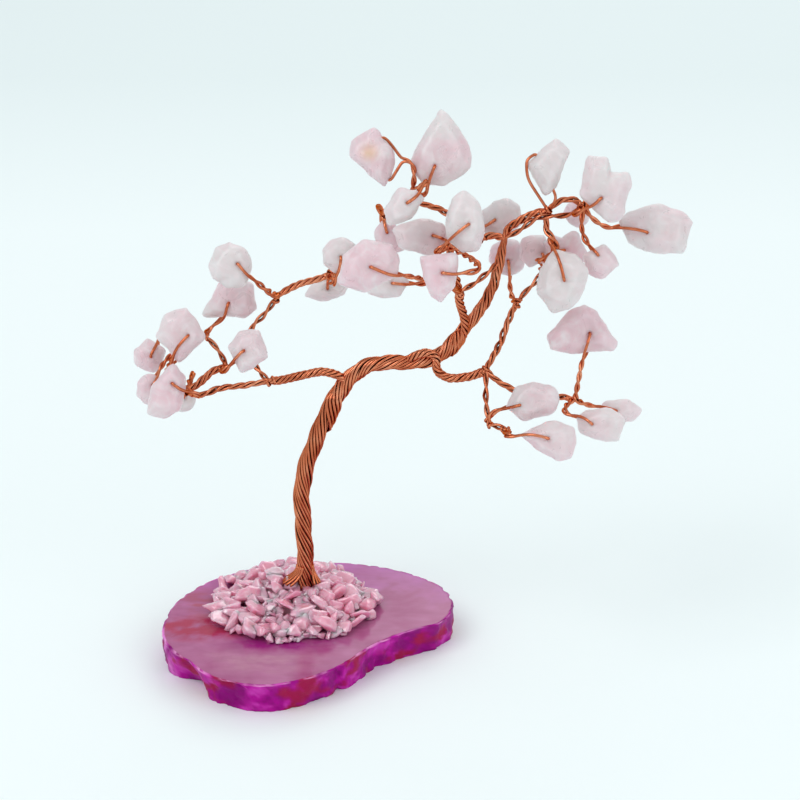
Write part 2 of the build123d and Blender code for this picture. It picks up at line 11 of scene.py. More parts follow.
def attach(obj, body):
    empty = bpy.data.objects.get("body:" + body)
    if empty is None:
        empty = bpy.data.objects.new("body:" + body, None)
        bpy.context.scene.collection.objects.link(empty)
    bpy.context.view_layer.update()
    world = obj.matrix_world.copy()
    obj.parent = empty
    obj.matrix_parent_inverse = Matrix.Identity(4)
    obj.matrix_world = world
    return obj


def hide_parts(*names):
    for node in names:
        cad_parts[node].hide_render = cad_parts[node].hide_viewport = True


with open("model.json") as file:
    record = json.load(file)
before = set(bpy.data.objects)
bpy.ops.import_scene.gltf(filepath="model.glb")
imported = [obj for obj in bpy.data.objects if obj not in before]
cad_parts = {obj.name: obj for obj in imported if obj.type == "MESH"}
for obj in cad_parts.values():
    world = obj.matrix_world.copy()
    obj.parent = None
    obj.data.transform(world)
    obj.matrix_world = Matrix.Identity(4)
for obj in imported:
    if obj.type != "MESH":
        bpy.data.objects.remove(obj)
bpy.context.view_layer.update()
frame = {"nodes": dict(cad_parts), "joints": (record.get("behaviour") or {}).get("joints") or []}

# Lengths are in millimetres and angles in degrees
MM = 0.001

# Camera: the photograph looks down on the tree from the front
VIEW_ELEVATION = 23.0
VIEW_DISTANCE = 450.0
VIEW_TARGET = (15.8, 7.5, 44.5)
LENS = 119.1
SENSOR = 36.0
CLIP_START = 10.0

# Studio: floor, world light, and lamps as name, place, power and size, in metres and watts
FLOOR_SIZE = 16
FLOOR_CELLS = 8
WORLD_COLOUR = (0.93, 0.98, 1.0, 1)
WORLD_STRENGTH = 0.75
LAMPS = (
    ("key_light", (-0.45, -0.35, 0.75), 2.05, 0.5),
    ("fill_light", (0.6, -0.5, 0.5), 1.25, 0.6),
    ("back_light", (0.2, 0.7, 0.6), 1.0, 0.5),
)

# Copper wire: radii, how strands pack and fill their room, and the mesh of a wire
WIRE_R = 0.25
TRUNK_WIRE_R = 0.26
LIMB_WIRE_R = 0.29
PACKING = 0.78
STRAND_FILL = 0.92
TUBE_SIDES = 8
DOME = 0.6
STRAND_STEP = 0.45
WIRE_STEP = 0.22

# Length of one turn of a twist, which changes along the trunk
TRUNK_LAY = [(0, 17), (0.25, 21), (0.45, 17), (0.55, 12), (0.8, 11), (1, 9)]
LIMB_PITCH = 4.8
STEM_PITCH = 6.0
TWIG_PITCH = 3.9

# Bundles: wires and outer strands of a limb, and how far strands draw together at an end
LIMB_STRANDS = 7
LIMB_LAY = 5
DRAWN_RUN = 1.2
DRAWN_SHARE = 0.45
TIE_LOOSENESS = 1.2

# Coils at the knots, with their rise in wire radii, and bands over the trunk
COIL_STEPS = 14
COIL_RISE = 5.2
BAND_STEPS = 26
BAND_SINK = 0.16
BAND_SPACING = 2.1

# Lobes of the trunk, points in one span of its core, and spread, top and fall of the root strands
TRUNK_LOBES = 3
LOBE_DEPTH = 0.13
CORE_SPAN = 8
ROOT_SPREAD = 13
ROOT_TOP = 7.2
ROOT_DROP = 2.9

# Twigs: bend, room before the twist, and the two legs that clear a swinging chip
TWIG_PULL = 0.5
TWIST_GAP = 1.1
LEG_GAP = 0.18
LEG_BOW = 0.3
LEG_REACH = 9
LEG_PLACES = np.arange(0.5, LEG_REACH, 0.25)
ROCK = 12.0
SWING_SPARE = 2
SWING_STEPS = 9
RAY_REACH = 20
CHIP_LEAN = 23.0

# Trunk's foot on the slice
SLICE_T = 6.0
FOOT = np.array((-0.8, 7.5, SLICE_T))

# Route of the trunk from its foot, with the strands that are left at each share of its length
TRUNK_LINE = [
    (0, 0, 0.2), (0, 0, 12), (0, 0, 24), (2.5, -0.5, 32), (7, -1, 41.5), (11.5, -1.5, 45.5), (17, -1.5, 46),
    (23, -1, 47), (27, 0, 51), (29.5, 0.5, 54), (32.5, 1, 60), (33.8, 1.5, 65.8), (34.2, 1.6, 67.4),
]
TRUNK_STRANDS = [(0, 26), (0.5, 26), (0.57, 20), (0.74, 19), (0.82, 14), (0.9, 10), (1, 8)]

# Knots where stems and twigs part, from the trunk's foot
KNOTS = {
    "left": (-5.5, -2.5, 43), "left_up": (-4, 2.5, 56.5), "left_back": (5, 6.5, 59),
    "left_out": (-19.5, -3.5, 41.5), "left_mid": (-12.5, -3, 46), "left_high": (-16.5, 0, 50.5),
    "left_tip": (-21.5, 0.5, 47),
    "centre": (26.5, -3.5, 59.5), "centre_front": (21, -13.5, 65.5), "centre_mid": (24.5, -8, 69),
    "centre_top": (18.5, -3.5, 76.5), "centre_left": (14, -2.5, 72.5),
    "right": (34, 1.5, 67), "right_back": (29.8, 3.6, 66.2), "right_up": (41, 0, 72.5),
    "right_low": (42.5, -2.5, 65.5), "right_tip": (47, 0, 73),
    "low": (31, -3.5, 45.5), "low_up": (36.5, 1.5, 56), "low_high": (40.5, 3.5, 61),
    "low_out": (46, -5.5, 41), "low_front": (31.5, -9.5, 38), "low_end": (34.6, -12, 38),
}

# Limbs: knot at the end, then the line to it from where the limb's strands lie on the trunk
LIMBS = {
    "left_limb": ("left", [
        (7.4, -1.2, 41.6), (6.8, -1.5, 43.2), (5.2, -1.8, 44.1), (3.4, -1.9, 44.5), (1.5, -2, 44.2),
        (-1, -2.5, 43.8), (-3.5, -2.5, 43.2),
    ]),
    "centre_limb": ("centre", [(24.4, -1, 47.6), (26.3, -1, 49.4), (27.4, -1, 51.3), (26.5, -2.5, 57.5)]),
    "low_limb": ("low", [
        (17.4, -1.6, 46.3), (19.4, -2.2, 47.6), (21.3, -2.4, 48.1), (22.7, -2.6, 47.2), (22.7, -2.8, 45.6),
        (24.5, -3.2, 44), (26.5, -3.5, 44), (29, -3.5, 44.5),
    ]),
}

# Loose pairs: one ties the centre limb to the top of the trunk, one runs under the stem to the right tip
TIES = {
    "centre_limb": [(26.5, -3.5, 59.5), (28.4, -2.4, 60.2), (30.8, -0.6, 61.4), (33, 1, 63)],
    "right_tip_spray": [
        (34.2, 1.2, 67.3), (37, 0.4, 69.3), (39.3, -0.2, 71.2), (41.4, -0.6, 71.7), (43.6, -0.6, 71.8),
        (45.3, -0.3, 72.3), (47, 0, 73),
    ],
}

# Bands of wire over the trunk at its forks: shares of its length, degrees round it and wires side by side
BANDS = [((0.4, 0.49), (310, 140), 5), ((0.735, 0.79), (300, 120), 4)]

# Root fans at the trunk's foot: heading in degrees, strands and reach from the trunk's middle
ROOT_FANS = [(192, 6, 4.0), (335, 4, 2.6), (80, 4, 2.8)]

# Sprays: stems as start knot, end knot, wires twisted together and the points between
SPRAYS = {
    "left_upper_spray": [
        ("left", "left_up", 2, [(-7.5, -0.5, 44.5), (-9, 1.5, 47.5), (-8.5, 2.5, 50.5), (-6, 2.5, 53.5)]),
        ("left_up", "left_back", 4, [(0, 4.5, 58), (3, 5.7, 58.4)]),
    ],
    "left_lower_spray": [
        ("left", "left_out", 3, [(-11, -3.5, 42.5), (-14.5, -4, 42), (-16.5, -4, 41.2)]),
        ("left_out", "left_mid", 4, [(-17, -3, 43), (-15.5, -3, 44.5)]),
    ],
    "left_tip_spray": [
        ("left_mid", "left_high", 2, [(-14.5, -1.5, 49)]),
        ("left_high", "left_tip", 2, [(-19, 1, 49)]),
    ],
    "centre_front_spray": [("centre", "centre_front", 4, [(25, -8.5, 62.5), (23, -12, 65)])],
    "centre_mid_spray": [("centre", "centre_mid", 3, [(26, -5.5, 62.5), (25, -7.5, 65.5)])],
    "centre_top_spray": [
        ("centre_mid", "centre_top", 3, [
            (25.5, -5.5, 71), (24.5, -3.5, 73), (22, -3.5, 74.3), (20, -3.5, 75),
        ]),
        ("centre_top", "centre_left", 3, [(16.5, -4, 75.5), (15, -3.5, 74)]),
    ],
    "right_upper_spray": [
        ("right", "right_back", 4, [(32, 3, 67)]),
        ("right", "right_up", 4, [(34.5, 1.5, 68.6), (36, 1, 70), (38, 0.5, 71.5)]),
    ],
    "right_low_spray": [("right_up", "right_low", 3, [(41, -0.5, 69), (42, -1.5, 67.5)])],
    "right_tip_spray": [("right_up", "right_tip", 3, [(43.5, 0, 74.3), (45.5, 0, 74.2)])],
    "low_upper_spray": [
        ("low", "low_up", 3, [(32.5, -2.5, 48), (34, -0.5, 50.5), (35, 0.5, 53.5)]),
        ("low_up", "low_high", 2, [(38, 2.5, 57.5), (40, 3.3, 59.5)]),
    ],
    "low_outer_spray": [
        ("low", "low_out", 3, [(33, -3.5, 43.5), (35, -3.5, 42.3), (37, -3.5, 41.4), (43, -4.5, 41)]),
    ],
    "low_front_spray": [
        ("low", "low_front", 2, [(31, -5.5, 42.5), (31, -7.5, 41)]),
        ("low_front", "low_end", 2, [(33, -10.6, 38.2)]),
    ],
}

# Chips: yaw of the chip's face, way the wire leaves in that face and the knot that it comes from
CHIPS = {
    "L1": (8, -44, "left_up"), "L2": (-6, -127, "left_high"), "L3": (5, -122, "left_tip"),
    "L4": (-12, 80, "left_tip"), "L5": (4, -25, "left_out"), "L6": (10, 60, "left_tip"),
    "L7": (0, 70, "left_out"), "L8": (-5, -135, "left_mid"), "C1": (0, 80, "left_back"),
    "C2": (6, -105, "left_back"), "C3": (10, -15, "centre_front"), "C4": (0, 0, "centre_front"),
    "C5": (-8, 115, "centre_left"), "C6": (6, -25, "centre_mid"), "C7": (12, 40, "centre_top"),
    "C8": (-8, 12, "centre_top"), "C9": (4, -107, "centre_top"), "C10": (-6, -140, "centre_mid"),
    "C11": (6, 200, "right_back"), "C12": (-8, 5, "centre_mid"), "R2": (0, -85, "low_up"),
    "R3": (6, -75, "low_high"), "R4": (6, 203, "right_up"), "R5": (-6, -148, "right_tip"),
    "R6": (8, 168, "right_tip"), "R7": (-5, 112, "right_low"), "R8": (4, 200, "right_low"),
    "R9": (0, 128, "right_tip"), "R10": (0, 60, "right_tip"), "D1": (5, -104, "low_out"),
    "D2": (-8, 195, "low_front"), "D3": (6, 174, "low_end"), "D4": (-4, 160, "low_out"),
    "D5": (0, 168, "low_out"),
}

# Chip whose wire isn't twisted but loops through it, the side where it comes back and how far it leads out
LOOPED_CHIP = "R4"
LOOP_SIDE = (1.0, 0.0, -1.0)
LOOP_LEAD = 1.2

# Bore of each chip, from the frame's joints
BORES = {joint["child"]: joint for joint in frame["joints"]}

# Stones: mesh size, rounds of smoothing, and swell with its noise as scales and heights
VOXEL = 0.2
SMOOTH_STEPS = 14
SWELL = 0.2
SWELL_NOISE = ((0.33, 0.42), (0.9, 0.13))

# Rusty inclusion: chip, place from its bore and width
INCLUSION = ("C8", (-2.6, -2.4, 2.8), 1.3)

# Stones that are pinker or paler than the rest
PINK_STONES = ("C3", "C5", "C8", "C12", "L3", "L5", "L6", "D1", "D2", "R2", "R8", "R9")
PALE_STONES = ("C1", "C4", "C10", "C11", "L1", "L7", "R4", "R6", "R7", "D4")
BLUSH = 0.13

# Stone with an icy tip: chip, height over its bore where the tip begins, its run and how much paler it is
ICY_TIP = ("C9", 4.2, 3.0, 0.4)

# Slice: how far its rind leans back for each millimetre of depth
SLICE_LEAN = 0.3

# Folds in the rind: degrees round the slice, half width, and depth at the top and at the bottom
RIND_FOLDS = [
    (-143, 9, 0.0, 3.0), (-71, 3, 0.5, 0.9), (-31, 3, 0.4, 0.7), (-118, 4, 0.2, 0.5), (172, 5, 0.3, 0.8),
]

# Rings of the slice's mesh: corners in each, shares of the top and depths of the rind; then the inset of
# the worn edge, which is also the height of the band of painted glints under it
RING_CORNERS = 300
TOP_SHARES = np.concatenate((np.linspace(0.02, 0.96, 40), (0.975, 0.987)))
RIND_DEPTHS = (0.0, 0.14, 0.4, 0.8, 1.3, 1.9, 2.5, 3.1, 3.7, 4.3, 4.9, 5.4, 5.8, SLICE_T)
EDGE_WEAR_AND_GLINT_BAND = 0.3

# Dyes of the slice's top and rind, with painted light among them: the plum is painted shade along the front
# of the gravel pile, the rind's pale is a painted highlight on its left facet, and the edge's pale is
# painted glints
MAUVES = ((0.37, 0.075, 0.21), (0.46, 0.145, 0.3))
BACK_MAGENTA = (0.5, 0.12, 0.41)
FRONT_HAZE = (0.49, 0.2, 0.31)
PILE_FRONT_SHADE_PLUM = (0.33, 0.02, 0.2)
RED_STAIN = (0.42, 0.03, 0.09)
ROSE_STAIN = (0.42, 0.08, 0.14)
RIND_PURPLES = ((0.27, 0.001, 0.18), (0.52, 0.004, 0.34))
RIND_BRIGHT = (0.64, 0.045, 0.47)
RIND_RED = (0.38, 0.008, 0.075)
RIND_PAINTED_HIGHLIGHT = (0.8, 0.22, 0.67)
EDGE_PAINTED_GLINT = (0.86, 0.36, 0.68)

# Gravel pile round the trunk's foot, over the bed of glue
GRAVEL_RINGS = (("gravel_top", 3.7), ("gravel_upper", 7.2), ("gravel_middle", 10.8), ("gravel_outer", 99))
PILE_CHIPS = 285
PILE_R = 15.4
PILE_SHIFT = (-2.1, -1.3)
BED_FOOT_R = 10.6
BED_TOP_R = 3.7
BED_H = 2.8

# Gravel chips: shortest length and how much longer they get, points and cuts of the hull, depth of dents
CHIP_LEAST = 1.9
CHIP_SPAN = 4.0
SHARD_POINTS = 11
SHARD_CUTS = 3
SHARD_DENTS = 0.16

# Heaping: rounds, longest push and sinking of one round, and how far a chip may lie over the bed
HEAP_ROUNDS = 200
HEAP_STEP = 0.25
HEAP_SINK = 0.06
HEAP_LIFT = 0.7

rng = random.Random(7)


def unit(vector):
    """Vector of length one."""
    return vector / np.linalg.norm(vector)


def above_foot(point):
    """Point measured from the middle of the trunk's foot."""
    return FOOT + np.array(point, float)


def turned(vector, axis, degrees):
    """Vector turned about an axis through the origin."""
    return np.array(Matrix.Rotation(math.radians(degrees), 3, Vector(axis)) @ Vector(vector))


def length_along(line):
    """Distance of each point of a line from its start."""
    return np.concatenate(([0], np.cumsum(np.linalg.norm(np.diff(line, axis=0), axis=1))))


def smooth_line(points, step):
    """Evenly spaced points on a natural cubic curve through the given points."""
    points = np.array(points, float)
    if len(points) == 2:
        count = max(2, round(np.linalg.norm(points[1] - points[0]) / step))
        return points[0] + (points[1] - points[0]) * np.linspace(0, 1, count + 1)[:, None]
    knots = length_along(points)
    gaps = np.diff(knots)
    slopes = np.diff(points, axis=0) / gaps[:, None]
    matrix = np.eye(len(points))
    right = np.zeros_like(points)
    for i in range(1, len(points) - 1):
        matrix[i, i - 1:i + 2] = gaps[i - 1], 2 * (gaps[i - 1] + gaps[i]), gaps[i]
        right[i] = 6 * (slopes[i] - slopes[i - 1])
    bend = np.linalg.solve(matrix, right)
    at = np.linspace(0, knots[-1], max(8, int(knots[-1] / step)) + 1)
    span = np.clip(np.searchsorted(knots, at, side="right") - 1, 0, len(gaps) - 1)
    a, b, h = (knots[span + 1] - at)[:, None], (at - knots[span])[:, None], gaps[span][:, None]
    return (bend[span] * a ** 3 + bend[span + 1] * b ** 3) / (6 * h) + (
        (points[span] / h - bend[span] * h / 6) * a + (points[span + 1] / h - bend[span + 1] * h / 6) * b)


def route(points):
    """Smooth line through points that are measured from the trunk's foot."""
    return smooth_line([above_foot(point) for point in points], STRAND_STEP)


def respaced(points, step):
    """The same line with evenly spaced points."""
    points = np.array(points, float)
    runs = length_along(points)
    at = np.linspace(0, runs[-1], max(3, round(runs[-1] / step)) + 1)
    return np.stack([np.interp(at, runs, points[:, i]) for i in range(3)], axis=1)


def relaxed(points, rounds):
    """The line with its corners eased, its ends held."""
    points = np.array(points, float)
    for _ in range(rounds):
        points[1:-1] = points[1:-1] * 0.5 + (points[:-2] + points[2:]) * 0.25
    return points


def carried_frames(points, side):
    """Directions along and across a line at each of its points, carried on without twist."""
    along = np.gradient(points, axis=0)
    along /= np.linalg.norm(along, axis=1)[:, None]
    across = np.zeros_like(points)
    for k, way in enumerate(along):
        side = unit(side - way * side.dot(way))
        across[k] = side
    return along, across, np.cross(along, across)


def any_side(way):
    """A direction that is not along the given one."""
    return np.array((0.0, 1.0, 0.0)) if abs(unit(way)[1]) < 0.9 else np.array((1.0, 0.0, 0.0))


class Mesh:
    """Collects corners and faces of one piece, in millimetres, with a value for each corner: painted shade
    on wires, a tone on chips.
    """

    def __init__(self):
        self.corners = []
        self.faces = []
        self.shades = []
        self.count = 0

    def put(self, corners, faces, shades=0.0):
        """Add a closed shape with one shade or a shade for each corner."""
        self.corners.append(np.asarray(corners, float))
        self.faces += [tuple(index + self.count for index in face) for face in faces]
        self.shades.append(np.zeros(len(corners)) + shades)
        self.count += len(corners)

    def tube(self, line, radius=WIRE_R, middle=None, sides=TUBE_SIDES, shade=1.0):
        """Add a round wire with domed ends along a line, with painted shade where it faces the middle of
        its bundle.
        """
        line = np.asarray(line, float)
        along, across, up = carried_frames(line, any_side(line[1] - line[0]))
        turns = (np.arange(sides) * math.tau / sides)[:, None]
        spokes = np.cos(turns) * across[:, None] + np.sin(turns) * up[:, None]
        rings = [line[0] - along[0] * radius * DOME + spokes[0] * radius * DOME]
        rings += list(line[:, None] + spokes * radius)
        rings.append(line[-1] + along[-1] * radius * DOME + spokes[-1] * radius * DOME)
        corners = np.concatenate(rings)
        faces = [tuple(range(sides))[::-1], tuple(range(len(corners) - sides, len(corners)))]
        for k in range(len(rings) - 1):
            for i in range(sides):
                j = (i + 1) % sides
                faces.append((k * sides + i, k * sides + j, (k + 1) * sides + j, (k + 1) * sides + i))
        shades = np.zeros(len(corners))
        if middle is not None:
            inward = middle - line
            inward /= np.maximum(np.linalg.norm(inward, axis=1), 0.01)[:, None]
            facing = (spokes * inward[:, None]).sum(axis=2)
            # Painted shade on the side facing the bundle's middle; a wire given its own line as middle gets
            # it all round
            shades[sides:-sides] = np.clip(facing + 0.6, 0, 1).ravel() * shade
        self.put(corners, faces, shades)

    def piece(self, name, material, body, nodes):
        """Make the object, let it ride on its body and stand for the given CAD nodes."""
        mesh = bpy.data.meshes.new(name)
        mesh.from_pydata((np.concatenate(self.corners) * MM).tolist(), [], self.faces)
        mesh.polygons.foreach_set("use_smooth", [True] * len(mesh.polygons))
        lay_values(mesh, "shade", np.concatenate(self.shades))
        piece = bpy.data.objects.new(name, mesh)
        bpy.context.scene.collection.objects.link(piece)
        mesh.materials.append(material)
        settle(piece, body, nodes)
        return piece


def lay_values(mesh, name, values):
    """Give each corner of a mesh a value that its material reads."""
    mesh.attributes.new(name, "FLOAT", "POINT").data.foreach_set("value", values)


def smooth_corners(shape, rounds):
    """Draw the corners of a bmesh shape towards their neighbours."""
    for _ in range(rounds):
        bmesh.ops.smooth_vert(
            shape, verts=shape.verts[:], factor=0.5, use_axis_x=True, use_axis_y=True, use_axis_z=True)


def settle(piece, body, nodes):
    """Let a piece ride on a body and stand for CAD nodes."""
    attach(piece, body)
    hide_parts(*nodes)


# Materials
def set_inputs(node, values):
    """Set a node's inputs to plain values, or link them to the outputs of other nodes."""
    for key, value in values.items():
        if isinstance(value, bpy.types.NodeSocket):
            node.id_data.links.new(value, node.inputs[key])
        else:
            node.inputs[key].default_value = value


def new_material(name):
    """Material with its surface shader and a helper that adds and sets up a node."""
    material = bpy.data.materials.new(name)
    material.use_nodes = True
    nodes = material.node_tree.nodes

    def add(kind, inputs=None, **settings):
        node = nodes.new(kind)
        for key, value in settings.items():
            setattr(node, key, value)
        set_inputs(node, inputs or {})
        return node

    return material, nodes["Principled BSDF"], add


def grey(level):
    """Colour with the same level in each channel."""
    return (level,) * 3


def ramp(add, factor, *stops):
    """Colour ramp with the given stops."""
    node = add("ShaderNodeValToRGB", {"Fac": factor})
    elements = node.color_ramp.elements
    while len(elements) < len(stops):
        elements.new(0.5)
    for element, (place, colour) in zip(elements, stops):
        element.position = place
        element.color = (*colour, 1)
    return node.outputs["Color"]


def laid_value(add, name):
    """Value that is laid on the corners of a mesh."""
    return add("ShaderNodeAttribute", attribute_name=name).outputs["Fac"]


def blotches(add, scale, detail=3.0, roughness=0.55, distortion=0.0):
    """Noise over the object's own coordinates, with scale in features to the millimetre."""
    place = add("ShaderNodeTexCoord").outputs["Object"]
    inputs = {"Vector": place, "Scale": scale / MM, "Detail": detail, "Roughness": roughness}
    return add("ShaderNodeTexNoise", {**inputs, "Distortion": distortion}).outputs["Fac"]


def mixed(add, factor, first, second, **settings):
    """Mix of two colours."""
    first, second = ((*part, 1) if isinstance(part, tuple) else part for part in (first, second))
    return add("ShaderNodeMix", {0: factor, 6: first, 7: second}, data_type="RGBA", **settings).outputs[2]


def bumped(add, height, strength, distance):
    """Bump from a height, with the distance in millimetres."""
    inputs = {"Height": height, "Strength": strength, "Distance": distance * MM}
    return add("ShaderNodeBump", inputs).outputs["Normal"]


def copper():
    """Bare copper: warm metal with fine drawing marks and tarnish, and painted shade where strands lie
    together.
    """
    material, shader, add = new_material("copper_wire")
    tarnish = blotches(add, 0.3, 4)
    fine = blotches(add, 2.4, 2)
    brown, bare, bright = (0.52, 0.13, 0.058), (0.66, 0.205, 0.1), (0.78, 0.31, 0.175)
    tone = ramp(add, tarnish, (0.32, brown), (0.52, bare), (0.72, bright))
    marks = ramp(add, fine, (0.5, grey(0)), (0.8, grey(0.3)))
    marked = mixed(add, marks, tone, (0.34, 0.075, 0.03))
    # Painted shade: the shade value turns the wire near black where it faces the middle of its bundle
    sunk = ramp(add, laid_value(add, "shade"), (0.22, grey(0)), (0.6, grey(0.95)))
    set_inputs(shader, {
        "Base Color": mixed(add, sunk, marked, (0.07, 0.008, 0.003)),
        "Metallic": 1, "Specular Tint": (0.72, 0.3, 0.16, 1),
        "Roughness": ramp(add, fine, (0.3, grey(0.14)), (0.75, grey(0.27))),
        "Normal": bumped(add, fine, 0.15, 0.03),
    })
    return material


def quartz(name, pale, pink, milky, veil_scale, rough_low, rough_high, scatter, glow, shine, clear, coat):
    """Milky translucent quartz: pale and pinker zones, inner veils, broken patches and a tumbled polish."""
    material, shader, add = new_material(name)
    zone = {0: blotches(add, 0.09, 2), 1: laid_value(add, "shade")}
    share = add("ShaderNodeMath", zone, operation="ADD").outputs["Value"]
    tone = ramp(add, share, (0.34, pale), (0.66, pink))
    veil = blotches(add, veil_scale, 5, 0.62, 1.4)
    clouded = mixed(add, ramp(add, veil, (0.5, grey(0)), (0.72, grey(0.7))), tone, milky)
    broken = ramp(add, blotches(add, 0.16, 2), (0.5, grey(0.12)), (0.66, grey(1)))
    flecks = {0: blotches(add, 1.3, 4, 0.6), 1: broken}
    height = add("ShaderNodeMath", flecks, operation="MULTIPLY").outputs["Value"]
    set_inputs(shader, {
        "Base Color": mixed(add, laid_value(add, "rust"), clouded, (0.78, 0.5, 0.24)),
        "Roughness": ramp(add, veil, (0.3, grey(rough_low)), (0.7, grey(rough_high))),
        "Subsurface Weight": 0.85, "Subsurface Radius": glow, "Subsurface Scale": scatter * MM,
        "IOR": 1.54, "Specular IOR Level": shine, "Transmission Weight": clear,
        "Coat Weight": coat, "Coat Roughness": 0.04, "Coat IOR": 1.8,
        "Normal": bumped(add, height, 0.6, 0.22),
    })
    return material


def agate():
    """Dyed agate: the dye and painted light on each corner, fine streaks and grain, polished top and dull
    rind.
    """
    material, shader, add = new_material("dyed_agate")
    place = add("ShaderNodeTexCoord").outputs["Object"]
    drawn = {"Vector": place, "Scale": (0.4, 1.2, 1.0), "Rotation": (0, 0, 0.35)}
    drawn_place = add("ShaderNodeMapping", drawn).outputs["Vector"]
    inputs = {"Vector": drawn_place, "Scale": 0.5 / MM, "Detail": 5.0, "Distortion": 0.8}
    streaks = add("ShaderNodeTexNoise", inputs).outputs["Fac"]
    shadowed = ramp(add, streaks, (0.38, (0.93, 0.9, 0.92)), (0.62, grey(1)))
    # Dyes and painted light laid on each corner of the slice
    dye_and_painted_light = add("ShaderNodeVertexColor", layer_name="dye_and_painted_light").outputs["Color"]
    rim = laid_value(add, "rim")
    rough = add("ShaderNodeMapRange", {"Value": rim, "To Min": 0.16, "To Max": 0.4})
    sheen = add("ShaderNodeMapRange", {"Value": rim, "To Min": 0.26, "To Max": 0.09})
    grain = {0: blotches(add, 0.9, 4), 1: rim}
    height = add("ShaderNodeMath", grain, operation="MULTIPLY").outputs["Value"]
    set_inputs(shader, {
        "Base Color": mixed(add, 1, dye_and_painted_light, shadowed, blend_type="MULTIPLY"),
        "Roughness": rough.outputs["Result"], "Specular IOR Level": sheen.outputs["Result"],
        "Subsurface Weight": 0.1, "Subsurface Radius": (1.0, 0.4, 0.8), "Subsurface Scale": 0.7 * MM,
        "Normal": bumped(add, height, 0.35, 0.3),
    })
    return material


def glue():
    """Clear glue stained by the slice under it."""
    material, shader, add = new_material("clear_glue")
    cloud = blotches(add, 0.3, 3)
    set_inputs(shader, {
        "Base Color": ramp(add, cloud, (0.35, (0.82, 0.4, 0.52)), (0.65, (0.9, 0.52, 0.62))),
        "Roughness": 0.15, "Transmission Weight": 0.3, "Normal": bumped(add, cloud, 0.3, 0.3),
    })
    return material


def paper():
    """Pale studio paper, with painted shade that makes it a little greyer far behind the object."""
    material, shader, add = new_material("studio_paper")
    place = add("ShaderNodeTexCoord").outputs["Object"]
    depth = add("ShaderNodeSeparateXYZ", {"Vector": place}).outputs["Y"]
    # Painted shade: the paper greys towards the back
    far = add("ShaderNodeMapRange", {"Value": depth, "From Min": 0.22, "From Max": 0.36}).outputs["Result"]
    set_inputs(shader, {
        "Base Color": mixed(add, far, (0.9, 0.965, 0.965), (0.815, 0.89, 0.89)),
        "Roughness": 0.9, "Specular IOR Level": 0.1,
        "Normal": bumped(add, blotches(add, 0.05, 3), 0.05, 0.2),
    })
    return material


COPPER = copper()
ROSE = quartz(
    "rose_quartz", pale=(0.76, 0.7, 0.7), pink=(0.79, 0.6, 0.64), milky=(0.84, 0.78, 0.79),
    veil_scale=0.28, rough_low=0.24, rough_high=0.42, scatter=3.4, glow=(1.0, 0.8, 0.84), shine=0.5,
    clear=0.1, coat=0.0)
GRAVEL = quartz(
    "quartz_gravel", pale=(0.79, 0.37, 0.48), pink=(0.75, 0.25, 0.37), milky=(0.88, 0.62, 0.7),
    veil_scale=0.4, rough_low=0.03, rough_high=0.12, scatter=2.6, glow=(1.0, 0.55, 0.66), shine=0.8,
    clear=0.0, coat=0.8)
AGATE = agate()
GLUE = glue()
PAPER = paper()


# Stones
def tumbled(name, seed):
    """Rounded copy of a chip's CAD mesh with low swells and shallow dimples."""
    stone = bpy.data.objects.new(name + "_stone", frame["nodes"][name].data.copy())
    bpy.context.scene.collection.objects.link(stone)
    stone.data.materials.clear()
    stone.data.remesh_voxel_size = VOXEL * MM
    bpy.context.view_layer.objects.active = stone
    bpy.ops.object.voxel_remesh()
    shape = bmesh.new()
    shape.from_mesh(stone.data)
    smooth_corners(shape, SMOOTH_STEPS)
    shape.normal_update()
    offset = Vector((seed * 3.1, seed * 1.7, seed * 0.9))
    for corner in shape.verts:
        spot = corner.co / MM + offset
        swell = sum(noise.noise(spot * scale) * height for scale, height in SWELL_NOISE) + SWELL
        corner.co += corner.normal * swell * MM
    shape.to_mesh(stone.data)
    shape.free()
    stone.data.polygons.foreach_set("use_smooth", [True] * len(stone.data.polygons))
    stone.data.materials.append(ROSE)
    spots = np.array([corner.co for corner in stone.data.vertices]) / MM
    spots = spots - np.array(BORES[name]["pos_m"]) / MM
    blush = np.full(len(spots), BLUSH * ((name in PINK_STONES) - (name in PALE_STONES)))
    icy, start, run, paler = ICY_TIP
    if name == icy:
        blush -= paler * np.clip((spots[:, 2] - start) / run, 0, 1)
    lay_values(stone.data, "shade", blush)
    rusty, place, width = INCLUSION
    if name == rusty:
        away = np.linalg.norm(spots - place, axis=1)
        lay_values(stone.data, "rust", np.exp(-(away / width) ** 2))
    return stone


stones = {}
for seed, chip in enumerate(CHIPS):
    stones[chip] = tumbled(chip, seed)
    settle(stones[chip], chip, [chip])


# Wires
def share_of(share, table):
    """Value at a share of the trunk's length."""
    return float(np.interp(share, [row[0] for row in table], [row[1] for row in table]))


def bundle_radius(strands):
    """Outer radius of this many strands packed in a round bundle."""
    return WIRE_R * math.sqrt(strands / PACKING)


def wandered(seed, at, swing):
    """Slow smooth wander along a strand."""
    return swing * noise.noise(Vector((seed * 7.3, at, seed * 1.9)))


def lay_strands(mesh, line, count, pitch, looseness, seed, radius=WIRE_R):
    """Strands that wind round a line side by side, drawn together at both ends and loose between."""
    _, across, up = carried_frames(line, any_side(line[1] - line[0]))
    runs = length_along(line)
    touching = radius / math.sin(math.pi / count)
    for i in range(count):
        path = []
        for k, run in enumerate(runs):
            ends = min(1, run / DRAWN_RUN, (runs[-1] - run) / DRAWN_RUN)
            loose = 1.02 + max(0, wandered(seed + 0.37 * i, run * 0.25, looseness))
            reach = touching * loose * (DRAWN_SHARE + (1 - DRAWN_SHARE) * ends)
            turn = math.tau * (i / count - run / pitch) + wandered(seed + i, run * 0.2 + 9, 0.4)
            path.append(line[k] + (across[k] * math.cos(turn) + up[k] * math.sin(turn)) * reach)
        # Thin stems get half as much painted shade between their wires
        if count > 4:
            mesh.tube(path, radius * STRAND_FILL, line)
        else:
            mesh.tube(path, radius, line, shade=0.5)


